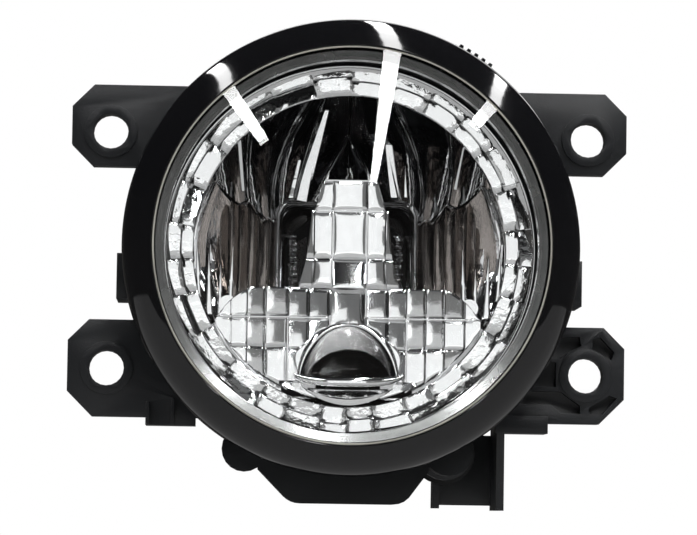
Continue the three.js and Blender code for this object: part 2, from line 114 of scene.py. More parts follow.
class Shader:
    """A material being built from sums and products of sockets. node() adds any single node,
    and surface() ends it with a Principled shader."""

    def __init__(self, name):
        self.material = bpy.data.materials.new(name)
        self.material.use_nodes = True
        self.tree = self.material.node_tree
        self.tree.nodes.clear()

    def node(self, kind, settings=(), inputs=(), out=0):
        """Adds one node: settings first, then the values or links of its sockets."""
        node = self.tree.nodes.new(kind)
        for key, value in dict(settings).items():
            setattr(node, key, value)
        for key, value in dict(inputs).items():
            if isinstance(value, Wire):
                self.tree.links.new(value.socket, node.inputs[key])
            else:
                node.inputs[key].default_value = value
        return Wire(self, node.outputs[out])

    def noise(self, size_mm, detail=2.0, roughness=0.5):
        """Cloudy noise from 0 to 1 whose blobs are about size_mm across."""
        place = self.node("ShaderNodeTexCoord", out=3)
        inputs = {"Vector": place, "Scale": 1000 / size_mm, "Detail": detail, "Roughness": roughness}
        return self.node("ShaderNodeTexNoise", {}, inputs)

    def blend(self, share, first, second):
        """A colour between first and second."""
        first, second = [c if isinstance(c, Wire) else (*c, 1) for c in (first, second)]
        inputs = {0: share, 6: first, 7: second}
        return self.node("ShaderNodeMix", {"data_type": "RGBA"}, inputs, out=2)

    def bump(self, height, distance_mm, strength=1.0):
        """A normal tilted as if the surface rose by height times the distance."""
        inputs = {"Height": height, "Distance": distance_mm / 1000, "Strength": strength}
        return self.node("ShaderNodeBump", {}, inputs)

    def surface(self, inputs):
        """The finished material: one Principled shader with these inputs."""
        shader = self.node("ShaderNodeBsdfPrincipled", {}, inputs)
        self.node_output(shader)
        return self.material

    def node_output(self, shader):
        """Links a shader to the material's surface."""
        output = self.tree.nodes.new("ShaderNodeOutputMaterial")
        self.tree.links.new(shader.socket, output.inputs["Surface"])


FLOOR_Z, FLOOR_HALF = -0.2, 1.7
floor_mesh = bpy.data.meshes.new("floor")
floor_corners = ((-1, -1), (1, -1), (1, 1), (-1, 1))
floor_mesh.from_pydata([(x * FLOOR_HALF, y * FLOOR_HALF, FLOOR_Z) for x, y in floor_corners],
                       [], [(0, 1, 2, 3)])
floor = bpy.data.objects.new("floor", floor_mesh)
bpy.context.scene.collection.objects.link(floor)
floor_paint = Shader("floor_paint")
floor_mesh.materials.append(floor_paint.surface({
    "Base Color": (0.36, 0.36, 0.36, 1), "Roughness": 0.9,
}))
floor.visible_glossy = False
floor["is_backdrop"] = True

# The surroundings: pure white where the camera looks past the lamp, an even soft light on matt
# surfaces, and for mirrors a dark room with a faint grey band round the horizon.
world = bpy.data.worlds.new("studio")
bpy.context.scene.world = world
world.use_nodes = True
sky = world.node_tree
sky.nodes.clear()
path = sky.nodes.new("ShaderNodeLightPath")
direction = sky.nodes.new("ShaderNodeTexCoord")
parts = sky.nodes.new("ShaderNodeSeparateXYZ")
band = sky.nodes.new("ShaderNodeValToRGB")
seen, felt = sky.nodes.new("ShaderNodeBackground"), sky.nodes.new("ShaderNodeBackground")
mirrored = sky.nodes.new("ShaderNodeBackground")
seen.inputs["Color"].default_value = (1, 1, 1, 1)
felt.inputs["Color"].default_value = (0.4, 0.41, 0.42, 1)
band.color_ramp.elements[0].color = (0.05, 0.048, 0.046, 1)
band.color_ramp.elements[1].color = (0.012, 0.012, 0.013, 1)
band.color_ramp.elements[1].position = 0.35
sky.links.new(direction.outputs["Generated"], parts.inputs[0])
sky.links.new(parts.outputs["Z"], band.inputs["Fac"])
sky.links.new(band.outputs["Color"], mirrored.inputs["Color"])
by_gloss, by_camera = sky.nodes.new("ShaderNodeMixShader"), sky.nodes.new("ShaderNodeMixShader")
sky.links.new(path.outputs["Is Glossy Ray"], by_gloss.inputs[0])
sky.links.new(felt.outputs[0], by_gloss.inputs[1])
sky.links.new(mirrored.outputs[0], by_gloss.inputs[2])
sky.links.new(path.outputs["Is Camera Ray"], by_camera.inputs[0])
sky.links.new(by_gloss.outputs[0], by_camera.inputs[1])
sky.links.new(seen.outputs[0], by_camera.inputs[2])
sky_output = sky.nodes.new("ShaderNodeOutputWorld")
sky.links.new(by_camera.outputs[0], sky_output.inputs["Surface"])


def area_light(name, centre, facing, width, length, radiance):
    """A rectangular light with the given radiance: its power is pi x area x radiance."""
    light = bpy.data.lights.new(name, "AREA")
    light.shape = "RECTANGLE"
    light.size, light.size_y = width, length
    light.energy = math.pi * width * length * radiance
    lamp = bpy.data.objects.new(name, light)
    lamp.location = centre
    lamp.rotation_euler = Vector(facing).to_track_quat("-Z", "Y").to_euler()
    lamp.visible_camera = False
    bpy.context.scene.collection.objects.link(lamp)
    return lamp


CEILING, BEHIND, TUBE_WIDTH, TUBE_RADIANCE = 1.5, 1.2, 0.125, 20
TUBES = (("left", -0.67, -0.665, 2.85), ("middle", 0.165, 0.345, 4.6), ("right", 0.85, 0.91, 2.2))
for tube_name, near_slope, far_slope, reach in TUBES:
    swing = (far_slope - near_slope) * CEILING / reach
    middle_y = (BEHIND - reach) / 2
    middle_x = near_slope * CEILING - swing * middle_y
    tube = area_light(f"tube_{tube_name}", (middle_x, middle_y, CEILING), (0, 0, -1),
                      TUBE_WIDTH, reach + BEHIND, TUBE_RADIANCE)
    tube.rotation_euler = (0, math.atan2(middle_x, CEILING), math.atan(swing))
front_panel = area_light("front_panel", (0, -3.2, 0.25), (0, 1, -0.06), 1.9, 1.5, 1.05)
front_wall = area_light("front_wall", (0, -3.6, 0.3), (0, 1, -0.06), 5.0, 3.4, 0.16)
area_light("back_panel", (0.6, 3, 1.5), (-0.2, -1, -0.5), 2.4, 1.4, 1.6)

# ---------------------------------------------------------------- mounting bracket
# One injection moulding in satin black glass-filled nylon: a ring with four ears, two arms
# for the lamp's pivots, two lower lips and the driver channel. Its edges are slightly rounded.


def moulded_black(name, colour, roughness, grain_mm=0.35, shine=0.18):
    """Black plastic from a spark-eroded tool: fine even grain, faint cloudy changes of gloss."""
    shader = Shader(name)
    cloud = shader.noise(14, 3)
    grain = shader.noise(grain_mm, 3, 0.6)
    lighter = tuple(c * 1.8 for c in colour)
    return shader.surface({
        "Base Color": shader.blend(cloud, colour, lighter),
        "Roughness": roughness - 0.06 + 0.12 * cloud + 0.08 * grain,
        "Specular IOR Level": shine,
        "Normal": shader.bump(grain, 0.035, 0.6),
    })


def sharpen(mesh, degrees):
    """Smooth shading, with edges left sharp where faces meet at more than this angle."""
    mesh.shade_smooth()
    mesh.set_sharp_from_angle(angle=math.radians(degrees))


def rounded_copy(node, radius_mm, material, degrees=28, segments=2):
    """A copy of a CAD node with its flat faces merged and every sharp edge rounded."""
    copy = bpy.data.objects.new(f"{node}_piece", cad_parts[node].data.copy())
    bpy.context.scene.collection.objects.link(copy)
    shape = bmesh.new()
    shape.from_mesh(copy.data)
    bmesh.ops.remove_doubles(shape, verts=shape.verts, dist=2e-6)
    bmesh.ops.dissolve_limit(shape, angle_limit=math.radians(0.6), verts=shape.verts,
                             edges=shape.edges)
    shape.to_mesh(copy.data)
    shape.free()
    bevel = copy.modifiers.new("rounded_edges", "BEVEL")
    bevel.width = radius_mm / 1000
    bevel.segments = segments
    bevel.limit_method = "ANGLE"
    bevel.angle_limit = math.radians(degrees)
    bevel.use_clamp_overlap = True
    shaped = copy.evaluated_get(bpy.context.evaluated_depsgraph_get())
    copy.data = bpy.data.meshes.new_from_object(shaped)
    copy.modifiers.clear()
    copy.data.materials.clear()
    copy.data.materials.append(material)
    sharpen(copy.data, 32)
    return copy


bracket_plastic = moulded_black("bracket_plastic", (0.0075, 0.008, 0.009), 0.34, shine=0.4)
bracket = rounded_copy("mounting_bracket", 0.35, bracket_plastic)
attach(bracket, "bracket")
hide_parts("mounting_bracket")

# ---------------------------------------------------------------- aiming screw
# A zinc-plated M4 screw that turns in the bracket. Its thread is rolled, and both ends are
# chamfered. Its axis runs along Y.

MM = 0.001


def grid_faces(rows, columns, wrap_rows=False, wrap_columns=False):
    """Quads of a grid of points numbered row by row, closed round either way if asked."""
    i = np.arange(rows if wrap_rows else rows - 1)[:, None]
    j = np.arange(columns if wrap_columns else columns - 1)[None, :]
    i_next, j_next = (i + 1) % rows, (j + 1) % columns
    corners = (i * columns + j, i * columns + j_next, i_next * columns + j_next,
               i_next * columns + j)
    shape = (i.shape[0], j.shape[1])
    return np.stack([np.broadcast_to(c, shape) for c in corners], -1).reshape(-1, 4)


def piece_from(name, parts, material, degrees=32, place=lambda points: points):
    """One object from several (points, quads) parts in millimetres, each moved by place: doubles
    are merged, faces that shrink to nothing go, and normals are turned outwards."""
    points, faces, offset = [], [], 0
    for part_points, part_faces in parts:
        points.append(part_points.reshape(-1, 3))
        faces.append(part_faces + offset)
        offset += len(points[-1])
    mesh = bpy.data.meshes.new(name)
    placed = place(np.concatenate(points)) * MM
    mesh.from_pydata(placed.tolist(), [], np.concatenate(faces).tolist())
    shape = bmesh.new()
    shape.from_mesh(mesh)
    bmesh.ops.remove_doubles(shape, verts=shape.verts, dist=2e-7)
    bmesh.ops.dissolve_degenerate(shape, edges=shape.edges, dist=2e-7)
    bmesh.ops.recalc_face_normals(shape, faces=shape.faces)
    shape.to_mesh(mesh)
    shape.free()
    mesh.materials.append(material)
    sharpen(mesh, degrees)
    piece = bpy.data.objects.new(name, mesh)
    bpy.context.scene.collection.objects.link(piece)
    return piece


def turned(profile, segments, closed=True, ripple=lambda angle, radius, y: radius):
    """A shape turned about the Y axis from (radius, y) pairs. A profile that isn't closed starts
    and ends on the axis. ripple gives the radius at each angle, for teeth and flutes."""
    profile = np.asarray(profile, float)
    angle = np.linspace(0, 2 * np.pi, segments, endpoint=False)[:, None]
    y = np.broadcast_to(profile[None, :, 1], (segments, len(profile)))
    radius = ripple(angle, np.broadcast_to(profile[None, :, 0], y.shape), y)
    points = np.stack([radius * np.cos(angle), y, radius * np.sin(angle)], -1)
    return points, grid_faces(segments, len(profile), True, closed)


def filleted(profile, radius, steps=5):
    """A closed outline in which every corner becomes an arc: the arc starts and ends at the
    distance radius / tan(half the corner), limited to 45% of the shorter side."""
    corners = np.array(profile, float)
    before, after = np.roll(corners, 1, 0) - corners, np.roll(corners, -1, 0) - corners
    length_b, length_a = np.linalg.norm(before, axis=1), np.linalg.norm(after, axis=1)
    unit_b, unit_a = before / length_b[:, None], after / length_a[:, None]
    inside = np.arccos(np.clip((unit_b * unit_a).sum(1), -1, 1))
    cut = np.minimum(radius / np.tan(inside / 2), 0.45 * np.minimum(length_b, length_a))
    start, end = corners + unit_b * cut[:, None], corners + unit_a * cut[:, None]
    t = np.linspace(0, 1, steps)[None, :, None]
    curve = (1 - t) ** 2 * start[:, None] + 2 * t * (1 - t) * corners[:, None] + t**2 * end[:, None]
    return curve.reshape(-1, 2)


def metal(name, colour, roughness, fine_mm=0.5):
    """Plated or drawn metal with fine mottling in its gloss."""
    shader = Shader(name)
    mottle = shader.noise(fine_mm, 4, 0.6)
    stain = shader.noise(6, 3)
    duller = tuple(c * 0.8 for c in colour)
    return shader.surface({
        "Base Color": shader.blend(stain, colour, duller),
        "Metallic": 1.0,
        "Roughness": roughness + 0.2 * mottle,
        "Normal": shader.bump(mottle, 0.01, 0.4),
    })


def centre_of(node):
    """The middle of a CAD node's box, in millimetres."""
    low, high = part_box(node)
    return np.array((low + high) / 2) / MM


PITCH, THREAD_DEPTH = 0.7, 0.36
screw_low, screw_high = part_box("aim_screw")
screw_front, screw_back = screw_low.y / MM, screw_high.y / MM
screw_r = (screw_high.x - screw_low.x) / 2 / MM
screw_place = centre_of("aim_screw") * (1, 0, 1)


def thread(angle, radius, y):
    """A screw thread: the radius falls by the depth in a wave that climbs one pitch a turn."""
    wave = np.abs(((y / PITCH - angle / (2 * np.pi)) % 1) * 2 - 1)
    return radius - THREAD_DEPTH * wave * (radius > 1.2)


screw_y = np.arange(screw_front + 0.5, screw_back - 0.5, PITCH / 7)
screw_profile = [(0, screw_front), (1.1, screw_front), *[(screw_r, y) for y in screw_y],
                 (1.1, screw_back), (0, screw_back)]
zinc = metal("zinc_plate", (0.6, 0.61, 0.62), 0.28)
screw = piece_from("aim_screw_thread", [turned(screw_profile, 24, False, thread)], zinc, 50,
                   lambda points: points + screw_place)
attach(screw, "aim_screw")
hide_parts("aim_screw")

# ---------------------------------------------------------------- crown gear, clip and nut
# The gear is moulded in black nylon, with teeth on its rear face for the driver. The clip is a
# spring steel star washer. The nut is black nylon too, held in the lamp's lug.


def plain_plastic(name, colour, roughness):
    """Smooth moulded plastic with faint clouding."""
    shader = Shader(name)
    cloud = shader.noise(5, 3)
    return shader.surface({
        "Base Color": shader.blend(cloud, colour, tuple(c * 0.88 for c in colour)),
        "Roughness": roughness + 0.08 * cloud,
        "Normal": shader.bump(shader.noise(0.4), 0.008, 0.4),
    })


nylon = plain_plastic("black_nylon", (0.011, 0.011, 0.012), 0.4)
gear = rounded_copy("crown_gear", 0.18, nylon)
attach(gear, "aim_screw")
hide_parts("crown_gear")


def star(angle, radius, y):
    """Eight inner teeth: the inner radius grows by a third between them."""
    inner = radius < 2.8
    return radius + inner * 0.5 * (np.cos(8 * angle) < 0)


clip_low, clip_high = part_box("screw_clip")
clip_inner, clip_outer = 2.3, (clip_high.x - clip_low.x) / 2 / MM
clip_front, clip_back = clip_low.y / MM, clip_high.y / MM
clip_profile = [(clip_inner, clip_front), (3.0, clip_front + 0.25), (clip_outer, clip_front + 0.3),
                (clip_outer, clip_back), (3.0, clip_back), (clip_inner, clip_back - 0.3)]
clip = piece_from("screw_star_washer", [turned(filleted(clip_profile, 0.08, 3), 96, True, star)],
                  zinc, 40, lambda points: points + centre_of("screw_clip") * (1, 0, 1))
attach(clip, "bracket")
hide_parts("screw_clip")

nut = rounded_copy("aim_nut", 0.2, nylon)
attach(nut, "lamp")
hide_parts("aim_nut")

# ---------------------------------------------------------------- lamp housing
# The lamp's rear bowl, moulded in black plastic, with the bulb's turret, the breather chamber
# and the lugs.

housing_plastic = moulded_black("housing_plastic", (0.005, 0.0055, 0.006), 0.5, 0.3, 0.16)
housing = rounded_copy("lamp_housing", 0.3, housing_plastic)
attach(housing, "lamp")
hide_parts("lamp_housing")

# ---------------------------------------------------------------- pivot pins
# Two steel pins pressed into the lamp, with rounded ends, on which it tilts in the bracket.

for side in ("left", "right"):
    low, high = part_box(f"pivot_pin_{side}")
    x0, x1, r = low.x / MM, high.x / MM, (high.z - low.z) / 2 / MM
    outline = [(0, x0), (r - 0.4, x0), (r, x0 + 0.4), (r, (x0 + x1) / 2 - 0.2),
               (r - 0.12, (x0 + x1) / 2), (r, (x0 + x1) / 2 + 0.2), (r, x1 - 0.4), (r - 0.4, x1), (0, x1)]
    centre = centre_of(f"pivot_pin_{side}") * (0, 1, 1)
    pin = piece_from(f"pivot_pin_{side}_steel", [turned(outline, 32, False)], zinc, 50,
                     lambda points: points[:, [1, 0, 2]] + centre)
    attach(pin, "lamp")
    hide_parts(f"pivot_pin_{side}")

# ---------------------------------------------------------------- breather
# A felted white membrane under a soft rubber cap with air slots round its skirt.

felt_cloth = Shader("felted_membrane")
fibres = felt_cloth.noise(0.25, 5, 0.7)
membrane_white = felt_cloth.surface({
    "Base Color": felt_cloth.blend(fibres, (0.7, 0.7, 0.68), (0.9, 0.9, 0.88)),
    "Roughness": 0.95,
    "Normal": felt_cloth.bump(fibres, 0.06, 0.7),
})
membrane_low, membrane_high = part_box("vent_membrane")
membrane_r = (membrane_high.x - membrane_low.x) / 2 / MM
membrane_y = membrane_low.y / MM, membrane_high.y / MM
membrane_profile = [(0, membrane_y[0]), (membrane_r - 0.1, membrane_y[0]), (membrane_r, membrane_y[0] + 0.1),
                    (membrane_r, membrane_y[1] - 0.1), (membrane_r - 0.1, membrane_y[1]),
                    (membrane_r * 0.5, membrane_y[1] - 0.05), (0, membrane_y[1])]
membrane = piece_from("vent_felt", [turned(membrane_profile, 40, False)], membrane_white, 50,
                      lambda points: points + centre_of("vent_membrane") * (1, 0, 1))
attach(membrane, "lamp")
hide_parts("vent_membrane")


def soft_rubber(name, colour=(0.012, 0.012, 0.013)):
    """Matt black rubber with a dusty bloom."""
    shader = Shader(name)
    bloom = shader.noise(3, 4, 0.6)
    return shader.surface({
        "Base Color": shader.blend(bloom, colour, tuple(c * 2.4 for c in colour)),
        "Roughness": 0.72 + 0.15 * bloom,
        "Specular IOR Level": 0.3,
        "Normal": shader.bump(shader.noise(0.3, 3), 0.02, 0.5),
    })


rubber = soft_rubber("black_rubber")
vent_low, vent_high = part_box("vent_cap")
vent_r, vent_front, vent_back = (vent_high.x - vent_low.x) / 2 / MM, vent_low.y / MM, vent_high.y / MM


def vent_slots(angle, radius, y):
    """Eight air slots: the skirt's outside steps in between its lands near its open end."""
    low_outside = (radius > vent_r - 0.5) & (y < vent_front + 3.6)
    return radius - 0.45 * low_outside * (np.cos(8 * angle) > 0.35)


vent_profile = [(4.5, vent_front), (vent_r - 0.2, vent_front), (vent_r, vent_front + 0.3),
                (vent_r, vent_front + 3.4), (vent_r, vent_front + 3.8), (vent_r, vent_back - 0.8),
                (vent_r - 0.25, vent_back - 0.25), (vent_r - 0.8, vent_back), (3.4, vent_back),
                (3.1, vent_back - 0.3), (0, vent_back - 0.3), (0, vent_back - 1.6), (4.5, vent_back - 1.6)]
vent = piece_from("vent_cap_rubber", [turned(vent_profile, 96, True, vent_slots)], rubber, 40,
                  lambda points: points + centre_of("vent_cap") * (1, 0, 1))
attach(vent, "lamp")
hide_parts("vent_cap")

# ---------------------------------------------------------------- reflector
# A moulded dish with a vacuum metallised mirror skin. Narrow upright flutes line its sides,
# long petals fan out above the bulb opening, and two rows of crystal facets run round its rim.


def mirror_metal(name, colour=(0.9, 0.9, 0.905), roughness=0.03, wave_mm=3.0, wave=0.5):
    """Metallised skin: a near-perfect mirror with the slight waviness of its moulding."""
    shader = Shader(name)
    ripples = shader.noise(wave_mm, 3)
    haze = shader.noise(1.4, 4, 0.65)
    return shader.surface({
        "Base Color": shader.blend(haze, colour, tuple(c * 0.9 for c in colour)),
        "Metallic": 1.0,
        "Roughness": roughness + 0.06 * haze**3,
        "Normal": shader.bump(ripples, 0.05, wave),
    })


def tile_grid(columns, rows, edge_u, edge_v):
    """Parameters u and v from 0 to 1 of a tile, with one extra line close to each border, and a
    mask of the border points."""
    u = np.concatenate([[0], np.linspace(edge_u, 1 - edge_u, columns), [1]])
    v = np.concatenate([[0], np.linspace(edge_v, 1 - edge_v, rows), [1]])
    u, v = np.meshgrid(u, v)
    border = (u == 0) | (u == 1) | (v == 0) | (v == 1)
    return u, v, border


def slab(x, y, z, back):
    """A closed tile: a grid of front points, the same grid at the depth back, and side walls."""
    front = np.stack(np.broadcast_arrays(x, y, z), -1)
    rear = np.stack(np.broadcast_arrays(x, np.maximum(back, y + 0.05), z), -1)
    rows, columns = front.shape[:2]
    count = rows * columns
    index = np.arange(count).reshape(rows, columns)
    rim = np.concatenate([index[0, :-1], index[:-1, -1], index[-1, :0:-1], index[:0:-1, 0]])
    walls = np.stack([rim, np.roll(rim, -1), np.roll(rim, -1) + count, rim + count], -1)
    faces = grid_faces(rows, columns)
    return np.concatenate([front, rear]), np.concatenate([faces, faces[:, ::-1] + count, walls])


reflector_low, reflector_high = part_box("reflector")
rim_r, rim_y = reflector_high.x / MM, reflector_low.y / MM
BAND_R, APEX_Y, DISH = 31.0, 18.0, 42.0


def dish(x, z):
    """The paraboloid y = apex - (x^2 + z^2) / (4 x focal length)."""
    return APEX_Y - (x * x + z * z) / DISH


# Upright flutes, nine on each side of the opening, with uneven crowns.
SPREAD = 1.04
flute_tiles, reflector_tiles = [], []
FLUTES, FLUTE_START, FLUTE_END = 9, 13.6, 30.4
flute_width = (FLUTE_END - FLUTE_START) / FLUTES
SCALLOPS = ((13.3, 6.2), (14.4, 6.6), (15.6, 7.6), (16.6, 6.6),
            (19.2, 10.2), (20.0, 9.4), (25.2, 13.2), (31, 13.4))
scallop_x, scallop_z = np.array(SCALLOPS).T
random = np.random.default_rng(7)
for side in (-1, 1):
    for k in range(FLUTES):
        u, v, border = tile_grid(9, 44, 0.05, 0.01)
        x = FLUTE_START + flute_width * (k + u)
        inside = np.sqrt(np.maximum(BAND_R**2 - x * x, 0))
        low = np.maximum(-inside, -22)
        high = np.maximum(np.minimum(inside, np.interp(x, scallop_x, scallop_z)), low + 0.1)
        z = low + (high - low) * v
        crown = (0.03 + 0.05 * random.random()) * (1 - (2 * u - 1) ** 2)
        lean = 0.12 * (random.random() - 0.5) * (u - 0.5) * flute_width
        ripple = 0.018 * np.sin(z * (0.5 + 0.5 * random.random()) + 6 * random.random())
        y = dish(x, z) + 0.45 - crown + lean + ripple + 0.05 * border
        flute_tiles.append(slab(side * x * SPREAD, y, z * SPREAD, y + 1.2))
    # Slim upright spikes at the feet of the outer flutes, facing straight ahead.
    for foot_x, foot_z, tip_z, wide in ((22.6, -9.5, 1.5, 0.5), (24.6, -12.2, -2.5, 0.55),
                                        (26.6, -12.4, -0.5, 0.75), (28.6, -9.0, 2.0, 0.5)):
        u, v, border = tile_grid(4, 12, 0.1, 0.02)
        x = foot_x + 0.5 * v * (foot_x - 25) / 3 + wide * (2 * u - 1) * (1 - v) ** 0.8
        z = foot_z + (tip_z - foot_z) * v
        y = dish(foot_x, foot_z) - 1.2 + 0.06 * (z - foot_z) * 0.3 - 0.06 * (1 - (2 * u - 1) ** 2)
        reflector_tiles.append(slab(side * x * SPREAD, y + 0.05 * border, z * SPREAD, y + 2.4))

# Petals above the opening: each lies between two curves x = B + S (z - 11) + Q (z - 11)^2.
EDGE_B = (6.7, 10.3, 14.3, 19.4, 25.4, 31.5)
EDGE_S = (-0.545, -0.28, 0.0, 0.14, 0.1, 0.0)
EDGE_Q = (0.0, 0.0, -0.021, -0.012, -0.006, 0.0)
FEET = ((10.6, 10.6, 10.6), (10.6, 10.6, 10.6), (10.6, 9.6, 7.4),
        (7.4, 6.6, 10.1), (10.1, 9.3, 13.0), (13.0, 12.4, 13.3))
LEANS = (0.1, 0.16, -0.1, -0.12, 0.08, 0.12)
CROWNS = (0.03, 0.05, 0.1, 0.12, 0.12, 0.1)


def petal_edge(k, z):
    """Distance of petal edge k from the middle plane at height z; edge -1 is the middle."""
    if k < 0:
        return np.zeros_like(z)
    rise = z - 11
    return np.maximum(EDGE_B[k] + EDGE_S[k] * rise + EDGE_Q[k] * rise**2, 0)


for side in (-1, 1):
    for k, (foot, lean, crown) in enumerate(zip(FEET, LEANS, CROWNS)):
        u, v, border = tile_grid(15, 44, 0.03, 0.01)
        foot_z = np.interp(u, (0, 0.35, 1), foot)
        top_z = np.full_like(u, 24.0)
        for _ in range(14):
            inner_x, outer_x = petal_edge(k - 1, top_z), petal_edge(k, top_z)
            x_top = inner_x + u * (outer_x - inner_x)
            top_z = (top_z + np.sqrt(np.maximum(BAND_R**2 - x_top**2, 100))) / 2
        if k == 0:
            top_z = np.full_like(u, 23.3)
        z = foot_z + np.maximum(top_z - foot_z, 0.05) * v
        inner_x, outer_x = petal_edge(k - 1, z), petal_edge(k, z)
        width = np.maximum(outer_x - inner_x, 2e-3)
        x = inner_x + u * width
        bulge = crown * width * (1 - (2 * u - 1) ** 2)
        y = dish(x, z) - 0.5 - bulge + lean * (u - 0.5) * width + 0.1 * border
        reflector_tiles.append(slab(side * x * SPREAD, y, z * SPREAD, y + 1.8))


def swept(path, radius, around=12):
    """A closed round bar along a path of points: circles across the path, with end caps drawn
    in to a point."""
    tangent = np.gradient(path, axis=0)
    tangent /= np.linalg.norm(tangent, axis=1, keepdims=True)
    side = np.cross(tangent, (0, 1, 0))
    side /= np.maximum(np.linalg.norm(side, axis=1, keepdims=True), 1e-9)
    up = np.cross(side, tangent)
    radius = np.broadcast_to(np.asarray(radius, float), (len(path),)).copy()
    radius[[0, -1]] = 1e-4
    a = np.linspace(0, 2 * np.pi, around, endpoint=False)[None, :, None]
    ring = np.cos(a) * side[:, None] + np.sin(a) * up[:, None]
    return path[:, None] + ring * radius[:, None, None], grid_faces(len(path), around, False, True)


def on_dish(x, z, proud):
    """Points of the dish at x and z, spread like the petals and standing proud of its skin."""
    return np.stack([x * SPREAD, dish(x, z) - proud, z * SPREAD], -1)


# Fine rolled beads along the scalloped feet and up the petals' edges.
beads = []
fine_x = np.linspace(14.2, 29.5, 80)
scallop_line = np.interp(fine_x, scallop_x, scallop_z)
for side in (-1, 1):
    beads.append(swept(on_dish(side * fine_x, scallop_line, 0.75), 0.17, 8))
    for k, (low_z, high_z, thick) in enumerate(((11, 23.2, 0.14), (11, 28, 0.16), (8.5, 26, 0.16),
                                                (10.5, 23.6, 0.2), (13.2, 17.5, 0.12))):
        edge_z = np.linspace(low_z, high_z, 40)
        beads.append(swept(on_dish(side * petal_edge(k, edge_z), edge_z, 0.75), thick, 8))


def stepped(inner, outer, low_z, high_z, lean, step=0.2):
    """A band of narrow steps that climb the dish, each facing nearly straight ahead, between two
    lines x = a + b (z - low_z)."""
    count = round((high_z - low_z) / step)
    row = np.repeat(np.arange(count), 2)
    z = low_z + step * (row + np.tile([0.0, 0.999], count))
    z, u = np.meshgrid(z, np.linspace(0, 1, 5), indexing="ij")
    rise = z - low_z
    left, right = inner[0] + inner[1] * rise, outer[0] + outer[1] * rise
    x = left + (right - left) * u
    base_z = (low_z + step * row)[:, None]
    mid_x = (left + right) / 2
    y = dish(mid_x, base_z) - 0.9 + lean[0] * (x - mid_x) + lean[1] * (z - base_z)
    return slab(x * SPREAD, y, z * SPREAD, y + 2.4)


STREAKS = (((-8.0, 0.16), (-9.9, 0.2), 10.8, 17, (0.02, 0.03)),
           ((-7.0, 0.22), (-9.2, 0.34), 15, 27.5, (0.03, 0.01)),
           ((-10.7, 0.2), (-11.9, 0.22), 11.5, 18.5, (0.0, 0.0)),
           ((-4.0, 0.1), (-5.4, 0.36), 13, 20.5, (-0.1, -0.12)),
           ((4.3, -0.12), (5.5, -0.3), 13, 21, (0.1, -0.12)),
           ((8.6, -0.16), (10.2, -0.12), 12, 21.5, (0.08, 0.0)),
           ((11.2, -0.02), (12.2, -0.1), 12, 18, (0.0, -0.1)),
           ((20.4, 0.16), (21.8, 0.14), 13, 21, (0.1, -0.02)),
           ((-20.2, -0.1), (-21.6, -0.16), 12, 21, (-0.1, 0.0)))
for inner, outer, low_z, high_z, lean in STREAKS:
    reflector_tiles.append(stepped(inner, outer, low_z, high_z, lean))

# A small four-sided spike above the shield's column, and the rolled ledge over the opening.
u, v, border = tile_grid(7, 9, 0.05, 0.05)
spike_z = 10.8 + 6.7 * v
spike_x = 0.5 + 2.6 * (1 - v) * (2 * u - 1)
spike_y = dish(spike_x, spike_z) - 1.0 - 1.6 * (1 - np.abs(2 * u - 1)) * (1 - v)
reflector_tiles.append(slab(spike_x, spike_y, spike_z, spike_y + 2.2))
HALF_W, TOP_Z, BOTTOM_Z, CORNER = 12.7, 9.6, -29.0, 3.2


def opening(t, inset):
    """The bulb opening's outline, t from 0 to 1: up its left side from z -8, round a corner,
    along the top and down to the right side, moved outwards by -inset."""
    wide, high, r = HALF_W - inset, TOP_Z - inset, CORNER
    side_length, top_length, arc = high - r + 8, 2 * (wide - r), r * np.pi / 2
    s = t * (2 * side_length + top_length + 2 * arc)
    a = np.clip(s - side_length, 0, arc) / r
    b = np.clip(s - side_length - arc - top_length, 0, arc) / r
    up = np.clip(s, 0, side_length)
    along = np.clip(s - side_length - arc, 0, top_length)
    down = np.clip(s - side_length - 2 * arc - top_length, 0, side_length)
    x = -wide + r * (1 - np.cos(a)) + along + r * np.sin(b)
    z = -8 + up + r * np.sin(a) - r * (1 - np.cos(b)) - down
    return x, z


t, around = np.meshgrid(np.linspace(0, 1, 90), np.linspace(0, 2 * np.pi, 14, endpoint=False))
line_x, line_z = opening(t, -1.35)
in_x, in_z = opening(t, -0.35)
away = np.stack([line_x - in_x, line_z - in_z])
roll = 0.72
roll_x = line_x + away[0] * roll * np.cos(around)
roll_z = line_z + away[1] * roll * np.cos(around)
roll_y = dish(line_x, line_z) - 0.35 - 0.9 * np.sin(around)
ledge = (np.stack([roll_x, roll_y, roll_z], -1).transpose(1, 0, 2), grid_faces(90, 14, False, True))

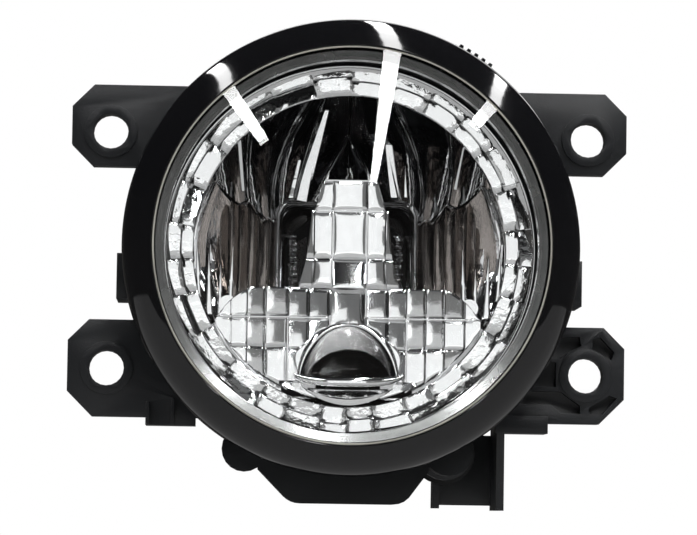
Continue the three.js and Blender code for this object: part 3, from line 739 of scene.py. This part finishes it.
# The opening's neck runs back from the ledge, and rough cast strips stand inside it.
t, depth = np.meshgrid(np.linspace(0, 1, 90), np.linspace(0, 1, 10))
neck_front_x, neck_front_z = opening(t, 0.0)
neck = []
for inset, order in ((-0.5, 1), (-1.3, -1)):
    x, z = opening(t, inset)
    y = dish(neck_front_x, neck_front_z) + 0.2 + 5.5 * depth
    flare = 1 - 0.16 * depth
    neck.append(np.stack([x * flare, y, z * flare], -1)[::order])
neck_loop = np.concatenate(neck)
neck_part = (neck_loop.transpose(1, 0, 2), grid_faces(90, 20, False, True))
neck_tiles = []
for side in (-1, 1):
    u, v, border = tile_grid(6, 12, 0.04, 0.02)
    plate_x, plate_z = 8.0 + 4.6 * u, -9 + 18.4 * v
    plate_y = 17.8 - 0.25 * (plate_x - 10) - 0.02 * plate_z + 0.3 * np.sin(3 * v + u)
    neck_tiles.append(slab(side * plate_x, plate_y, plate_z, plate_y + 0.8))
    for k in range(26):
        u, v, border = tile_grid(3, 2, 0.15, 0.2)
        cell_z = -8 + 0.5 * k + 0.5 * v
        cell_x = 9.9 + 0.5 * random.random() + 1.5 * u
        slant = 0.7 * (random.random() - 0.5) * (u - 0.5) + 0.9 * (random.random() - 0.5) * (v - 0.5)
        neck_tiles.append(slab(side * cell_x, 16.2 + slant + 0.1 * border, cell_z, 17.4))

# Crystal blocks round the rim. Angles run from the bottom up each side, in degrees. Each block
# has an outer and an inner facet, and most of them lean a little towards the floor.
crystal_tiles = []
BLOCKS = (0, 9, 21, 31, 45, 60, 74, 86, 98, 112, 127, 140, 153, 167, 180)
for side in (-1, 1):
    for first, last in zip(BLOCKS[:-1], BLOCKS[1:]):
        split = 33.2 + 1.6 * random.random()
        for r0, r1 in ((BAND_R, split), (split, rim_r - 0.1)):
            u, v, border = tile_grid(5, 4, 0.07, 0.07)
            angle = np.radians(first + (last - first) * u)
            radius = r0 + (r1 - r0) * v
            x, z = side * radius * np.sin(angle), -radius * np.cos(angle)
            dark = random.random() < (0.22 if first > 80 else 0.08)
            lean_z = 0.16 + 0.1 * random.random() if dark else 0.03 - 0.15 * random.random()
            lean_x = 0.16 * (random.random() - 0.5)
            puff = 0.1 * (random.random() - 0.3) * (1 - (2 * u - 1) ** 2) * (1 - (2 * v - 1) ** 2)
            x_mid, z_mid = x.mean(), z.mean()
            y = -7.0 + lean_z * (z - z_mid) + lean_x * (x - x_mid) - puff
            crystal_tiles.append(slab(x, y + 0.16 * border, z, y + 2.0))

# The rim's rolled edge, and the shell behind everything, from the rim to the opening.
bead = [(rim_r - 0.45 + 0.42 * math.cos(a), -8.9 + 0.4 * math.sin(a))
        for a in np.linspace(0, 2 * math.pi, 12, endpoint=False)]
shell_angle = np.linspace(0, 2 * np.pi, 120, endpoint=False)[:, None]
ray_x, ray_z = np.cos(shell_angle), np.sin(shell_angle)
to_side = (HALF_W + 0.6) / np.maximum(np.abs(ray_x), 1e-6)
to_end = np.where(ray_z > 0, TOP_Z + 0.6, -BOTTOM_Z) / np.maximum(np.abs(ray_z), 1e-6)
hole_r = np.minimum(to_side, to_end)
share = np.concatenate([np.linspace(0, 1, 12), np.linspace(1, 0, 12)])[None, :]
shell_r = hole_r + (rim_r - 0.1 - hole_r) * share
behind = np.concatenate([np.full(12, 1.7), np.full(12, 2.5)])[None, :]
rim_lift = rim_y + 1.2 - (APEX_Y - rim_r**2 / DISH) - 1.7
lift = np.clip((shell_r - BAND_R) / (rim_r - BAND_R), 0, 1) * rim_lift
shell_y = np.minimum(APEX_Y - shell_r**2 / DISH + behind + lift, reflector_high.y / MM)
shell = (np.stack([shell_r * ray_x, shell_y, shell_r * ray_z], -1), grid_faces(120, 24, True, True))

chrome = mirror_metal("reflector_chrome")
reflector_parts = [*reflector_tiles, *beads, turned(bead, 160), shell]
reflector = piece_from("reflector_mirror", reflector_parts, chrome)
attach(reflector, "lamp")
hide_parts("reflector")
# The flutes share the reflector's mirror skin but get about a quarter of its brightness: painted shade.
flutes = piece_from("reflector_flutes", flute_tiles,
                    mirror_metal("flute_chrome_painted_dark", (0.24, 0.218, 0.205), 0.07, 2.2, 0.4))
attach(flutes, "lamp")
# The neck's mirror skin gets a third of the reflector's brightness: painted shade for the dark recess round
# the bulb opening.
neck = piece_from("reflector_neck", [*neck_tiles, ledge, neck_part],
                  mirror_metal("neck_chrome_painted_dark", (0.3, 0.3, 0.305), 0.12, 1.6, 0.8))
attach(neck, "lamp")
crystals = piece_from("reflector_crystals", crystal_tiles,
                      mirror_metal("crystal_chrome", (0.88, 0.88, 0.885), 0.06, 1.3, 1.6))
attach(crystals, "lamp")

# ---------------------------------------------------------------- light shield
# A separate metallised moulding that hides the filament: an upright column on a wide skirt, cut
# into square cells that each lean a little differently, with an arch round the shade cap.

SHIELD_FRONT, SHIELD_BACK = -7.2, -5.5
SKIRT_R, SKIRT_TOP, UPPER_LINE, LOWER_LINE = 30.3, -7.5, -13.4, -19.5
ARCH_FOOT, ARCH_RISE, ARCH_HALF = -27, 12.2, 9.7


def skirt_top(x):
    """Height of the skirt's top edge: level, then falling in a curve to the wing tips."""
    return SKIRT_TOP - 6.4 * (np.clip(np.abs(x) - 18.2, 0, 8.2) / 8.2) ** 2


def skirt_bottom(x):
    """The skirt's round lower edge."""
    return -np.sqrt(np.maximum(SKIRT_R**2 - x * x, 0))


def arch_top(x):
    """The ogive opening over the cap."""
    return ARCH_FOOT + ARCH_RISE * np.sqrt(np.maximum(1 - (x / ARCH_HALF) ** 2, 0))


def arch_flank(v):
    """Half the arch's width beside the lowest row of cells, whose foot is 0.4 mm up the arch."""
    return ARCH_HALF * np.sqrt(1 - ((0.4 + 7.5 * v) / ARCH_RISE) ** 2)


shield_tiles = []


def cell(x0, x1, bottom, top, lean=(0.0, 0.0), puff=0.08, lift=0.0, steps=8):
    """One mirror cell between x0 and x1, which may depend on the height share v, and between two
    height curves. Its face leans, swells in the middle and has a narrow chamfer."""
    u, v, border = tile_grid(steps, steps, 0.06, 0.06)
    left = x0(v) if callable(x0) else x0
    right = x1(v) if callable(x1) else x1
    x = left + (right - left) * u
    low = bottom(x) if callable(bottom) else bottom
    high = np.maximum(top(x) if callable(top) else top, low + 0.02)
    z = low + (high - low) * v
    crown = puff * (1 - (2 * u - 1) ** 2) * (1 - (2 * v - 1) ** 2)
    tilt = lean[0] * (x - x.mean()) + lean[1] * (z - z.mean())
    y = SHIELD_FRONT - lift + tilt - crown + 0.16 * border
    shield_tiles.append(slab(x, np.maximum(y, -8.6), z, SHIELD_BACK))


WHITE, GREY, DARK = (0.0, -0.02), (0.16, -0.06), (0.12, 0.13)
COLUMNS = (-26.4, -23.3, -20.2, -16.5, -12.0, -7.9, -3.8, 3.0, 7.8, 11.4, 15.3, 19.0, 23.1, 26.4)
TOP_ROW = (WHITE, WHITE, GREY, GREY, DARK, DARK, None, DARK, DARK, GREY, GREY, GREY, WHITE)
MID_ROW = (WHITE, WHITE, GREY, GREY, DARK, DARK, None, DARK, DARK, GREY, GREY, WHITE, WHITE)
LOW_ROW = (WHITE, WHITE, GREY, WHITE, DARK, WHITE, None, WHITE, DARK, WHITE, WHITE, GREY, WHITE)


def unevenly(lean, unevenness):
    """A lean with a small change to each of its two slopes."""
    return lean[0] + unevenness[0], lean[1] + unevenness[1]


for x0, x1, top_lean, mid_lean, low_lean in zip(COLUMNS[:-1], COLUMNS[1:], TOP_ROW, MID_ROW, LOW_ROW):
    middle = (x0 + x1) / 2
    if top_lean is None:
        cell(x0, x1, arch_top, SKIRT_TOP, DARK, 0.2)
        continue
    jitter = 0.07 * (random.random(6) - 0.5)
    cell(x0, x1, lambda x: np.maximum(UPPER_LINE, skirt_bottom(x)), skirt_top,
         unevenly(top_lean, jitter[:2]))
    if abs(middle) < 7.8:
        cell(x0, x1, lambda x: np.maximum(arch_top(x), LOWER_LINE), UPPER_LINE,
             unevenly(mid_lean, jitter[2:4]))
        continue
    cell(x0, x1, lambda x: np.maximum(LOWER_LINE, skirt_bottom(x)),
         lambda x: np.minimum(UPPER_LINE, skirt_top(x)), unevenly(mid_lean, jitter[2:4]))
    if 7.8 < abs(middle) < 11.4:
        s = math.copysign(1, middle)
        outer = abs(x0) if s < 0 else x1
        edges = (lambda v: s * arch_flank(v), s * outer)
        cell(*(edges if s > 0 else edges[::-1]), -26.6, LOWER_LINE, unevenly(low_lean, jitter[4:]))
    elif abs(middle) < 23.2:
        cell(x0, x1, skirt_bottom, LOWER_LINE, unevenly(low_lean, jitter[4:]))

# The column: three rows of three cells with narrow slanted cells outside them.
ROWS = ((SKIRT_TOP, -1.7), (-1.7, 7.9), (7.9, 14.0))
CORE = 3.4
SIDE = (7.5, 7.1, 7.2, 5.3)
OUTER = (10.2, 8.6, 7.6, 5.4)
STEM = (((0.02, 0.3), (0.12, -0.05)), (WHITE, (0.03, 0.0)), ((0.05, -0.03), (0.08, 0.02)))


def slanted_edge(half_widths, k, s):
    """An upright edge of row k on side s: from its half width at the row's foot to the next one
    at its top, as the height share v runs from 0 to 1."""
    return lambda v: s * (half_widths[k] + (half_widths[k + 1] - half_widths[k]) * v)


for k, ((low_z, high_z), (core_lean, side_lean)) in enumerate(zip(ROWS, STEM)):
    cell(-CORE, CORE, low_z, high_z, core_lean, 0.1, 0.5)
    for s in (-1, 1):
        side_edge, outer_edge = slanted_edge(SIDE, k, s), slanted_edge(OUTER, k, s)
        lean = (side_lean[0] * s, side_lean[1])
        inner = (s * CORE, side_edge)
        cell(*(inner if s > 0 else inner[::-1]), low_z, high_z, lean, 0.15, 0.3)
        if k < 2:
            sliver = (side_edge, outer_edge)
            cell(*(sliver if s > 0 else sliver[::-1]), low_z, high_z, (0.25 * s, 0.0), 0.05)

# Fine raised ribs divide the skirt: one level line and a few upright ones.
RIBS = ((-25.6, -3.6, UPPER_LINE, 0), (3.6, 25.6, UPPER_LINE, 0),
        (-12.0, -26.6, -13.6, 1), (11.5, -27.0, -13.6, 1),
        (-3.4, -7.4, 7.8, 1), (3.4, -13.4, 7.8, 1), (-3.7, -15.4, -13.0, 1), (-6.9, 6.9, 7.9, 0),
        (-5.2, 5.2, 13.95, 0))
for first, second, third, upright in RIBS:
    u, v, border = tile_grid(3, 30, 0.15, 0.01)
    across, along = 0.17 * (2 * u - 1), v
    if upright:
        x, z = first + across, second + (third - second) * along
    else:
        x, z = first + (second - first) * along, third + across
    rib_y = -7.95 - 0.06 * (1 - (2 * u - 1) ** 2) + 0.08 * border
    shield_tiles.append(slab(x, rib_y, z, SHIELD_BACK))

# A swept bead frames the arch, and the shelf under the cap ends in a curved bright lip.
s = np.linspace(-1, 1, 61)
arch_angle = s * 1.52
arch_path = np.stack([(ARCH_HALF + 0.05) * np.sin(arch_angle), -7.9 - 1.4 * np.abs(s) ** 3,
                      ARCH_FOOT + ARCH_RISE * np.cos(arch_angle)], -1)
arch_bead = swept(arch_path, 0.45 + 0.55 * np.sin(np.pi * np.abs(s)) ** 2)
shelf_parts = []
u, v, border = tile_grid(40, 4, 0.01, 0.1)
shelf_x = -10.8 + 21.6 * u
curl = (2 * u - 1) ** 4
shelf_z = -25.5 + 0.9 * curl - (1.8 - 1.0 * curl) * v
lip_y = -15.6 + 2.2 * (2 * u - 1) ** 2 - 0.25 * np.sin(np.pi * v)
shelf_parts.append(slab(shelf_x, lip_y + 0.1 * border, shelf_z, SHIELD_BACK))

# Two crescent facets stand beside the arch, widest at half its height.
for s in (-1, 1):
    u, v, border = tile_grid(6, 24, 0.08, 0.02)
    z = -25.2 + 9.4 * v
    x = 9.9 * np.sqrt(1 - ((z + 27) / 12.4) ** 2) + (0.1 + 1.9 * np.sin(np.pi * v) ** 1.5) * u
    y = -8.35 - 0.12 * (1 - (2 * u - 1) ** 2) + 0.12 * border
    shelf_parts.append(slab(s * x, y, z, SHIELD_BACK))

# Under the lip stand four small cells that lean back, and a curved scoop below them.
for k in range(4):
    u, v, border = tile_grid(6, 4, 0.05, 0.08)
    x = -8 + 4 * (k + u)
    z = -27.1 - 0.6 * (1 - (x / 10) ** 2) - 1.7 * (1 - (x / 9.5) ** 2) * v
    y = -9.2 - 0.9 * v + 0.05 * (u - 0.5) + 0.1 * border
    shelf_parts.append(slab(x, y, z, SHIELD_BACK))
u, v, border = tile_grid(40, 5, 0.01, 0.1)
x = -9.2 + 18.4 * u
bow = 1 - (x / 9.4) ** 2
z = -27.1 - 2.4 * bow - 1.4 * bow * v
shelf_parts.append(slab(x, -9.7 + 0.15 * v + 0.1 * border, z, SHIELD_BACK))

# A curved foot on each side closes the shield down to the crystal ring.
for s in (-1, 1):
    u, v, border = tile_grid(10, 5, 0.05, 0.08)
    x = 6.4 + 7.2 * u
    z = -26.0 - (np.sqrt(30.0**2 - x**2) - 26.0) * v
    shelf_parts.append(slab(s * x, -8.5 - 0.3 * v + 0.1 * border, z, SHIELD_BACK))

# Two posts on the back reach the rivets.
post_parts = []
for s in (-1, 1):
    post = [(0, -6.2), (1.8, -6.2), (1.8, -1.3), (0, -1.3)]
    points, faces = turned(post, 24, False)
    post_parts.append((points + np.array([24.0 * s, 0, -11.0]), faces))

shield = piece_from("light_shield_mirror", [*shield_tiles, arch_bead, *shelf_parts, *post_parts],
                    mirror_metal("shield_chrome", roughness=0.07, wave_mm=2.4, wave=0.4))
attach(shield, "lamp")
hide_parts("light_shield")

# ---------------------------------------------------------------- shield rivets
# Two steel rivets hold the shield's posts to the reflector; their set heads are domed.

for side in ("left", "right"):
    low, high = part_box(f"shield_rivet_{side}")
    back = high.y / MM
    rivet_profile = [(0, low.y / MM), (1.1, low.y / MM), (1.1, back - 1), (1.7, back - 1),
                     (1.6, back - 0.5), (1.2, back - 0.15), (0.6, back - 0.02), (0, back)]
    centre = centre_of(f"shield_rivet_{side}") * (1, 0, 1)
    rivet = piece_from(f"shield_rivet_{side}_steel", [turned(rivet_profile, 28, False)], zinc, 40,
                       lambda points: points + centre)
    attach(rivet, "lamp")
    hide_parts(f"shield_rivet_{side}")

# ---------------------------------------------------------------- shade cap
# A drawn steel cup in gloss black lacquer over the bulb's tip. It lies on the bulb's axis and is
# trimmed flat where it meets the shield's shelf.

BULB_SEAT, BULB_TILT = np.array([0, 28.6, -3.7]), math.radians(30)
tilt_rows = np.array([[1, 0, 0], [0, math.cos(BULB_TILT), -math.sin(BULB_TILT)],
                      [0, math.sin(BULB_TILT), math.cos(BULB_TILT)]])


def on_bulb(points):
    """From the bulb's own frame, in which -Y runs to its tip, to the lamp's frame."""
    return points @ tilt_rows.T + BULB_SEAT


def gloss_black(name, colour=(0.0035, 0.0035, 0.004), roughness=0.045, shine=0.5):
    """Polished black: a mirror-like skin with faint wiping marks in its gloss."""
    shader = Shader(name)
    haze = shader.noise(9, 4, 0.6)
    return shader.surface({
        "Base Color": (*colour, 1),
        "Roughness": roughness + 0.05 * haze**3,
        "Specular IOR Level": shine,
    })


CAP_BACK, CAP_FRONT, CAP_R = -37.0, -47.5, 8.5
cap_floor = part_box("shade_cap")[0].z / MM


def cap_place(points):
    """The bulb's frame, with everything below the shelf's plane brought up to it."""
    placed = on_bulb(points)
    placed[:, 2] = np.maximum(placed[:, 2], cap_floor)
    return placed


cap_profile = filleted([(CAP_R - 0.8, CAP_BACK), (CAP_R, CAP_BACK), (CAP_R, CAP_FRONT), (7.2, CAP_FRONT),
                        (6.6, CAP_FRONT + 0.35), (0, CAP_FRONT + 0.35), (0, CAP_FRONT + 1.1),
                        (CAP_R - 0.8, CAP_FRONT + 1.1)], 0.35, 4)
cap_profile[:, 0] = np.where(cap_profile[:, 0] < 0.4, 0, cap_profile[:, 0])
cap = piece_from("shade_cap_lacquered", [turned(cap_profile, 128)],
                 gloss_black("cap_lacquer", (0.0008, 0.0008, 0.0009), 0.2, 0.3), 32, cap_place)
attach(cap, "lamp")
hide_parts("shade_cap")

# ---------------------------------------------------------------- bulb
# A bayonet bulb: a moulded base with its connector socket, an O-ring, a steel collar, a clear
# quartz envelope with a black dipped tip, two lead wires and a coiled filament.

base = rounded_copy("bulb_base", 0.25, moulded_black("bulb_base_plastic", (0.008, 0.008, 0.009), 0.45, 0.25))
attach(base, "bulb")
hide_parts("bulb_base")

SEAL_R, SEAL_Y, SEAL_CORD_R = 13.85, 0.75, 0.65
ring_angle = np.linspace(0, 2 * np.pi, 20, endpoint=False)
seal_section = np.stack([SEAL_R + SEAL_CORD_R * np.cos(ring_angle),
                         SEAL_Y + SEAL_CORD_R * np.sin(ring_angle)], -1)
seal = piece_from("bulb_o_ring", [turned(seal_section, 96)], rubber, 40, on_bulb)
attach(seal, "bulb")
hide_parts("bulb_seal")


def dimples(angle, radius, y):
    """Four pressed dimples round the middle of the collar grip the glass."""
    middle = np.exp(-((y + 6) / 1.4) ** 2)
    return radius - 0.25 * middle * np.maximum(np.cos(4 * angle), 0) ** 6


collar_outer = [(7.2, y) for y in np.linspace(-1.3, -11, 24)]
collar_inner = [(6.5, y) for y in np.linspace(-11, -1.3, 24)]
collar = piece_from("bulb_steel_collar", [turned(collar_outer + collar_inner, 96, True, dimples)],
                    zinc, 50, on_bulb)
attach(collar, "bulb")
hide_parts("bulb_collar")


def clear_shell(name, tint, shine=1.0, roughness=0.012):
    """Clear thin-walled material: light goes straight through, and the share that mirrors
    grows from 4 percent face-on to all at a grazing angle."""
    shader = Shader(name)
    edge = shader.node("ShaderNodeLayerWeight", {}, {"Blend": 0.5}, out=1)
    share = (0.04 + 0.96 * edge**5) * shine
    through = shader.node("ShaderNodeBsdfTransparent", {}, {"Color": (*tint, 1)})
    mirror = shader.node("ShaderNodeBsdfGlossy", {}, {"Color": (1, 1, 1, 1), "Roughness": roughness})
    shader.node_output(shader.node("ShaderNodeMixShader", {}, {0: share, 1: through, 2: mirror}))
    return shader.material


GLASS_R, SHOULDER, TIP = 6.0, -38.0, -44.0
dome = np.linspace(0, np.pi / 2, 14)
glass_outer = [(GLASS_R * math.cos(a), SHOULDER + (TIP - SHOULDER) * math.sin(a)) for a in dome]
glass_inner = [((GLASS_R - 0.9) * math.cos(a), SHOULDER + 5.1 * -math.sin(a)) for a in dome[::-1]]
glass_profile = [(GLASS_R, -1.6), *glass_outer, *glass_inner, (GLASS_R - 0.9, -1.6)]
glass = piece_from("bulb_quartz", [turned(glass_profile, 64)],
                   clear_shell("bulb_clear", (0.97, 0.975, 0.975), 0.8), 40, on_bulb)
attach(glass, "bulb")
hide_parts("bulb_glass")

coat = np.linspace(0, np.pi / 2, 12)
coat_outer = [((GLASS_R + 0.34) * math.cos(a), SHOULDER - 6.34 * math.sin(a)) for a in coat]
coat_inner = [((GLASS_R + 0.06) * math.cos(a), SHOULDER - 6.06 * math.sin(a)) for a in coat[::-1]]
coat_profile = [(GLASS_R + 0.06, -36.7), (GLASS_R + 0.34, -36.9), *coat_outer, *coat_inner]
coating = piece_from("bulb_dipped_tip", [turned(coat_profile, 64)],
                     gloss_black("dip_coating", (0.006, 0.006, 0.006), 0.28), 40, on_bulb)
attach(coating, "bulb")
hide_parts("bulb_tip_coating")

tungsten = metal("tungsten_wire", (0.32, 0.32, 0.33), 0.35)
COIL_TURNS = 9
turn = np.linspace(0, 2 * np.pi * COIL_TURNS, COIL_TURNS * 14)
coil = np.stack([0.68 * np.cos(turn), np.linspace(-22.9, -27.1, len(turn)), 0.68 * np.sin(turn)], -1)
filament = piece_from("filament_coil", [swept(coil, 0.11, 6)], tungsten, 60, on_bulb)
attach(filament, "bulb")
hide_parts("filament")
for side, x, reach in (("left", -2.2, -22.3), ("right", 2.2, -28.4)):
    rise = np.linspace(0, 1, 24)
    wire_x = x * (1 - 0.02 * np.sin(rise * np.pi * 3))
    path_points = np.stack([wire_x, -2 + (reach + 2) * rise, 0.06 * np.sin(rise * 7)], -1)
    lead = piece_from(f"lead_wire_{side}_nickel", [swept(path_points, 0.3, 10)], tungsten, 60, on_bulb)
    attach(lead, "bulb")
    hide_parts(f"lead_wire_{side}")

tin = metal("tinned_brass", (0.72, 0.6, 0.4), 0.25)
for side in ("left", "right"):
    blade = rounded_copy(f"terminal_{side}", 0.14, tin)
    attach(blade, "bulb")
    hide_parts(f"terminal_{side}")

# ---------------------------------------------------------------- lens seal
# A black rubber gasket with two sealing beads, squeezed between lens and housing.

seal_low, seal_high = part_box("lens_seal")
seal_y0, seal_y1, seal_r = seal_low.y / MM, seal_high.y / MM, seal_high.x / MM
bead_r = np.linspace(37.5, seal_r, 17)
bead_lift = 0.18 * np.abs(np.sin((bead_r - 37.5) / (seal_r - 37.5) * 2 * np.pi))
seal_front = np.stack([bead_r, seal_y0 + 0.18 - bead_lift], -1)
seal_rear = np.stack([bead_r[::-1], np.full(17, seal_y1)], -1)
gasket = piece_from("lens_gasket", [turned(np.concatenate([seal_front, seal_rear]), 120)], rubber, 50)
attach(gasket, "lamp")
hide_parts("lens_seal")

# ---------------------------------------------------------------- lens
# A clear dome with a short skirt, moulded in polycarbonate and hard-coated.

lens_low, lens_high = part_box("lens")
lens_r, lens_apex, lens_back = lens_high.x / MM, lens_low.y / MM, lens_high.y / MM
LENS_SPHERE, LENS_WALL, LENS_SKIRT = 111.0, 2.6, 1.4
outer_r = np.linspace(0, lens_r, 40)
inner_r = np.linspace(lens_r - LENS_SKIRT, 0, 40)
outer_y = lens_apex + LENS_SPHERE - np.sqrt(LENS_SPHERE**2 - outer_r**2)
inner_sphere = LENS_SPHERE - LENS_WALL
inner_y = lens_apex + LENS_SPHERE - np.sqrt(inner_sphere**2 - inner_r**2)
skirt = [(lens_r, lens_back), (lens_r - LENS_SKIRT, lens_back)]
lens_profile = np.concatenate([np.stack([outer_r, outer_y], 1), skirt, np.stack([inner_r, inner_y], 1)])
lens = piece_from("lens_dome", [turned(lens_profile, 160, closed=False)],
                  clear_shell("lens_clear", (0.985, 0.99, 0.99)))
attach(lens, "lamp")
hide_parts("lens")

# The lens's frosted welding rim shows as a metallic ring inside the bezel, bright where it faces up.
# A thin pale ring at its outer edge is a painted highlight, for the bright line that edge mirrors.
rim_shader = Shader("frosted_rim")
rim_cloud = rim_shader.noise(6, 3)
frosted = rim_shader.surface({
    "Base Color": rim_shader.blend(rim_cloud, (0.4, 0.405, 0.405), (0.62, 0.62, 0.61)),
    "Roughness": 0.2 + 0.12 * rim_cloud,
    "Metallic": 0.85,
})
rim_profile = [(36.6, -16.9), (36.62, -19.85), (38.3, -20.85), (38.4, -17.0)]
frosted_rim = piece_from("lens_frosted_rim", [turned(rim_profile, 160)], frosted)
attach(frosted_rim, "lamp")
# Painted highlight: the ring's pale colour stands for the bright line that the lens edge mirrors.
highlight_shader = Shader("painted_edge_highlight")
highlight_cloud = highlight_shader.noise(10, 2)
highlight_paint = highlight_shader.surface({
    "Base Color": highlight_shader.blend(highlight_cloud, (0.16, 0.155, 0.135), (0.6, 0.58, 0.51)),
    "Roughness": 0.2 + 0.1 * highlight_cloud,
})
edge_circle = [(38.72 + 0.2 * math.cos(a), -23.35 + 0.2 * math.sin(a))
               for a in np.linspace(0, 2 * math.pi, 12, endpoint=False)]
lens_edge = piece_from("lens_edge_painted_highlight", [turned(edge_circle, 200)], highlight_paint)
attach(lens_edge, "lamp")

# ---------------------------------------------------------------- bezel
# A glossy black trim ring, turned section: an inner lip against the glass, a domed face and a
# straight outer wall. A ribbed clip tab stands on its wall at the upper right.

bezel_r = bezel_high.x / MM
bezel_front, bezel_back = bezel_low.y / MM, bezel_high.y / MM
bezel_outline = [
    (39.0, bezel_front + 2.3), (39.0, bezel_front + 0.2), (39.15, bezel_front),
    (40.6, bezel_front + 0.6), (42.3, bezel_front + 1.7), (43.7, bezel_front + 3.2),
    (44.6, bezel_front + 4.7), (bezel_r - 0.02, bezel_front + 6.8), (bezel_r - 0.02, bezel_back),
    (43.7, bezel_back), (43.7, -17.3), (42.6, -19.4), (41.0, -21.0),
]
u, v, border = tile_grid(60, 5, 0.01, 0.1)
tab_angle = math.radians(58.5) + (u - 0.5) * 8.4 / bezel_r
tab_r = bezel_r + 0.62 * (1 - border) * (0.6 + 0.4 * np.sign(np.sin(u * 2 * np.pi * 5)))
tab_y = -16.9 + 4.4 * v
tab_outer = np.stack([tab_r * np.cos(tab_angle), tab_y, tab_r * np.sin(tab_angle)], -1)
tab_inner = tab_outer * (44.2 / np.maximum(tab_r, 1)[..., None])
tab_inner[..., 1] = tab_y
tab_count = tab_outer.shape[0] * tab_outer.shape[1]
tab_index = np.arange(tab_count).reshape(tab_outer.shape[:2])
tab_rim = np.concatenate([tab_index[0, :-1], tab_index[:-1, -1], tab_index[-1, :0:-1], tab_index[:0:-1, 0]])
tab_next = np.roll(tab_rim, -1)
tab_walls = np.stack([tab_rim, tab_next, tab_next + tab_count, tab_rim + tab_count], -1)
tab_faces = grid_faces(*tab_outer.shape[:2])
tab = (np.concatenate([tab_outer, tab_inner]),
       np.concatenate([tab_faces, tab_faces[:, ::-1] + tab_count, tab_walls]))
bezel = piece_from("bezel_trim", [turned(filleted(bezel_outline, 12, 10), 192), tab],
                   gloss_black("bezel_gloss_black"))
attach(bezel, "lamp")
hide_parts("bezel_ring")

# ---------------------------------------------------------------- light on each finish
# Some lights reach only some pieces. The front wall shows in the mirror skins alone, and the
# front panel misses the lens, the cap and the black skins, which would look grey under it.


def lit_pieces(name, pieces, state):
    """A collection that names the pieces a light reaches, or leaves out."""
    group = bpy.data.collections.new(name)
    for piece in pieces:
        group.objects.link(piece)
    for link in group.collection_objects:
        link.light_linking.link_state = state
    return group


mirrors = [reflector, flutes, crystals, neck, shield]
front_wall.light_linking.receiver_collection = lit_pieces("wall_reaches", mirrors, "INCLUDE")
unlit = [lens, bezel, cap, bracket, housing]
front_panel.light_linking.receiver_collection = lit_pieces("panel_misses", unlit, "EXCLUDE")

# Two glows stand for the floor's reflection: one in the mirrors, one in the black skins.
floor_glow = area_light("floor_glow", (0, -1.0, -0.19), (0, 0, 1), 2.6, 2.0, 0.45)
floor_glow.light_linking.receiver_collection = lit_pieces("floor_glow_reaches", mirrors, "INCLUDE")
under_glow = area_light("under_glow", (0, -0.15, -0.19), (0, 0, 1), 2.0, 0.9, 0.45)
blacks = [bezel, bracket, housing, base]
under_glow.light_linking.receiver_collection = lit_pieces("under_glow_reaches", blacks, "INCLUDE")

# The frosted rim's funnel mirrors a pale ceiling where it faces up, and the dark floor above.
rim_glow = area_light("rim_glow", (0, 0, 1.4), (0, 0, -1), 2.4, 2.4, 1.5)
rim_glow.light_linking.receiver_collection = lit_pieces("rim_glow_reaches", [frosted_rim], "INCLUDE")

# The cap's glint spans the directions that its side mirrors between two turns about its axis.
# Light coming along +Y leaves a facet whose normal is n along Y - 2 (Y . n) n.
GLINT_AWAY, GLINT_LENGTH, GLINT_RADIANCE = 0.5, 0.3, 180.0
GLINT_FROM, GLINT_TO = -6.0, 2.6
cap_middle = Vector(centre_of("shade_cap")) * MM
glint_ends = []
for reach in (GLINT_FROM, GLINT_TO):
    turn_angle = math.asin(reach / CAP_R)
    sine, cosine = math.sin(turn_angle), math.cos(turn_angle)
    normal = Vector((sine, -math.sin(BULB_TILT) * cosine, math.cos(BULB_TILT) * cosine))
    glint_ends.append((Vector((0, 1, 0)) - 2 * normal.y * normal) * GLINT_AWAY)
glint_out = (glint_ends[0] + glint_ends[1]).normalized()
glint_across = glint_ends[1] - glint_ends[0]
glint = area_light("cap_glint", cap_middle + (glint_ends[0] + glint_ends[1]) / 2, -glint_out,
                   glint_across.length, GLINT_LENGTH, GLINT_RADIANCE)
glint_x = (glint_across - glint_across.dot(glint_out) * glint_out).normalized()
axes = Matrix((glint_x, glint_out.cross(glint_x), glint_out)).transposed()
glint.rotation_euler = axes.to_euler()
glint.light_linking.receiver_collection = lit_pieces("glint_reaches", [cap], "INCLUDE")
glint.light_linking.blocker_collection = lit_pieces("glint_stopped_by", [cap], "INCLUDE")

# ---------------------------------------------------------------- sizes
# The finished model's box.

low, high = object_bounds()
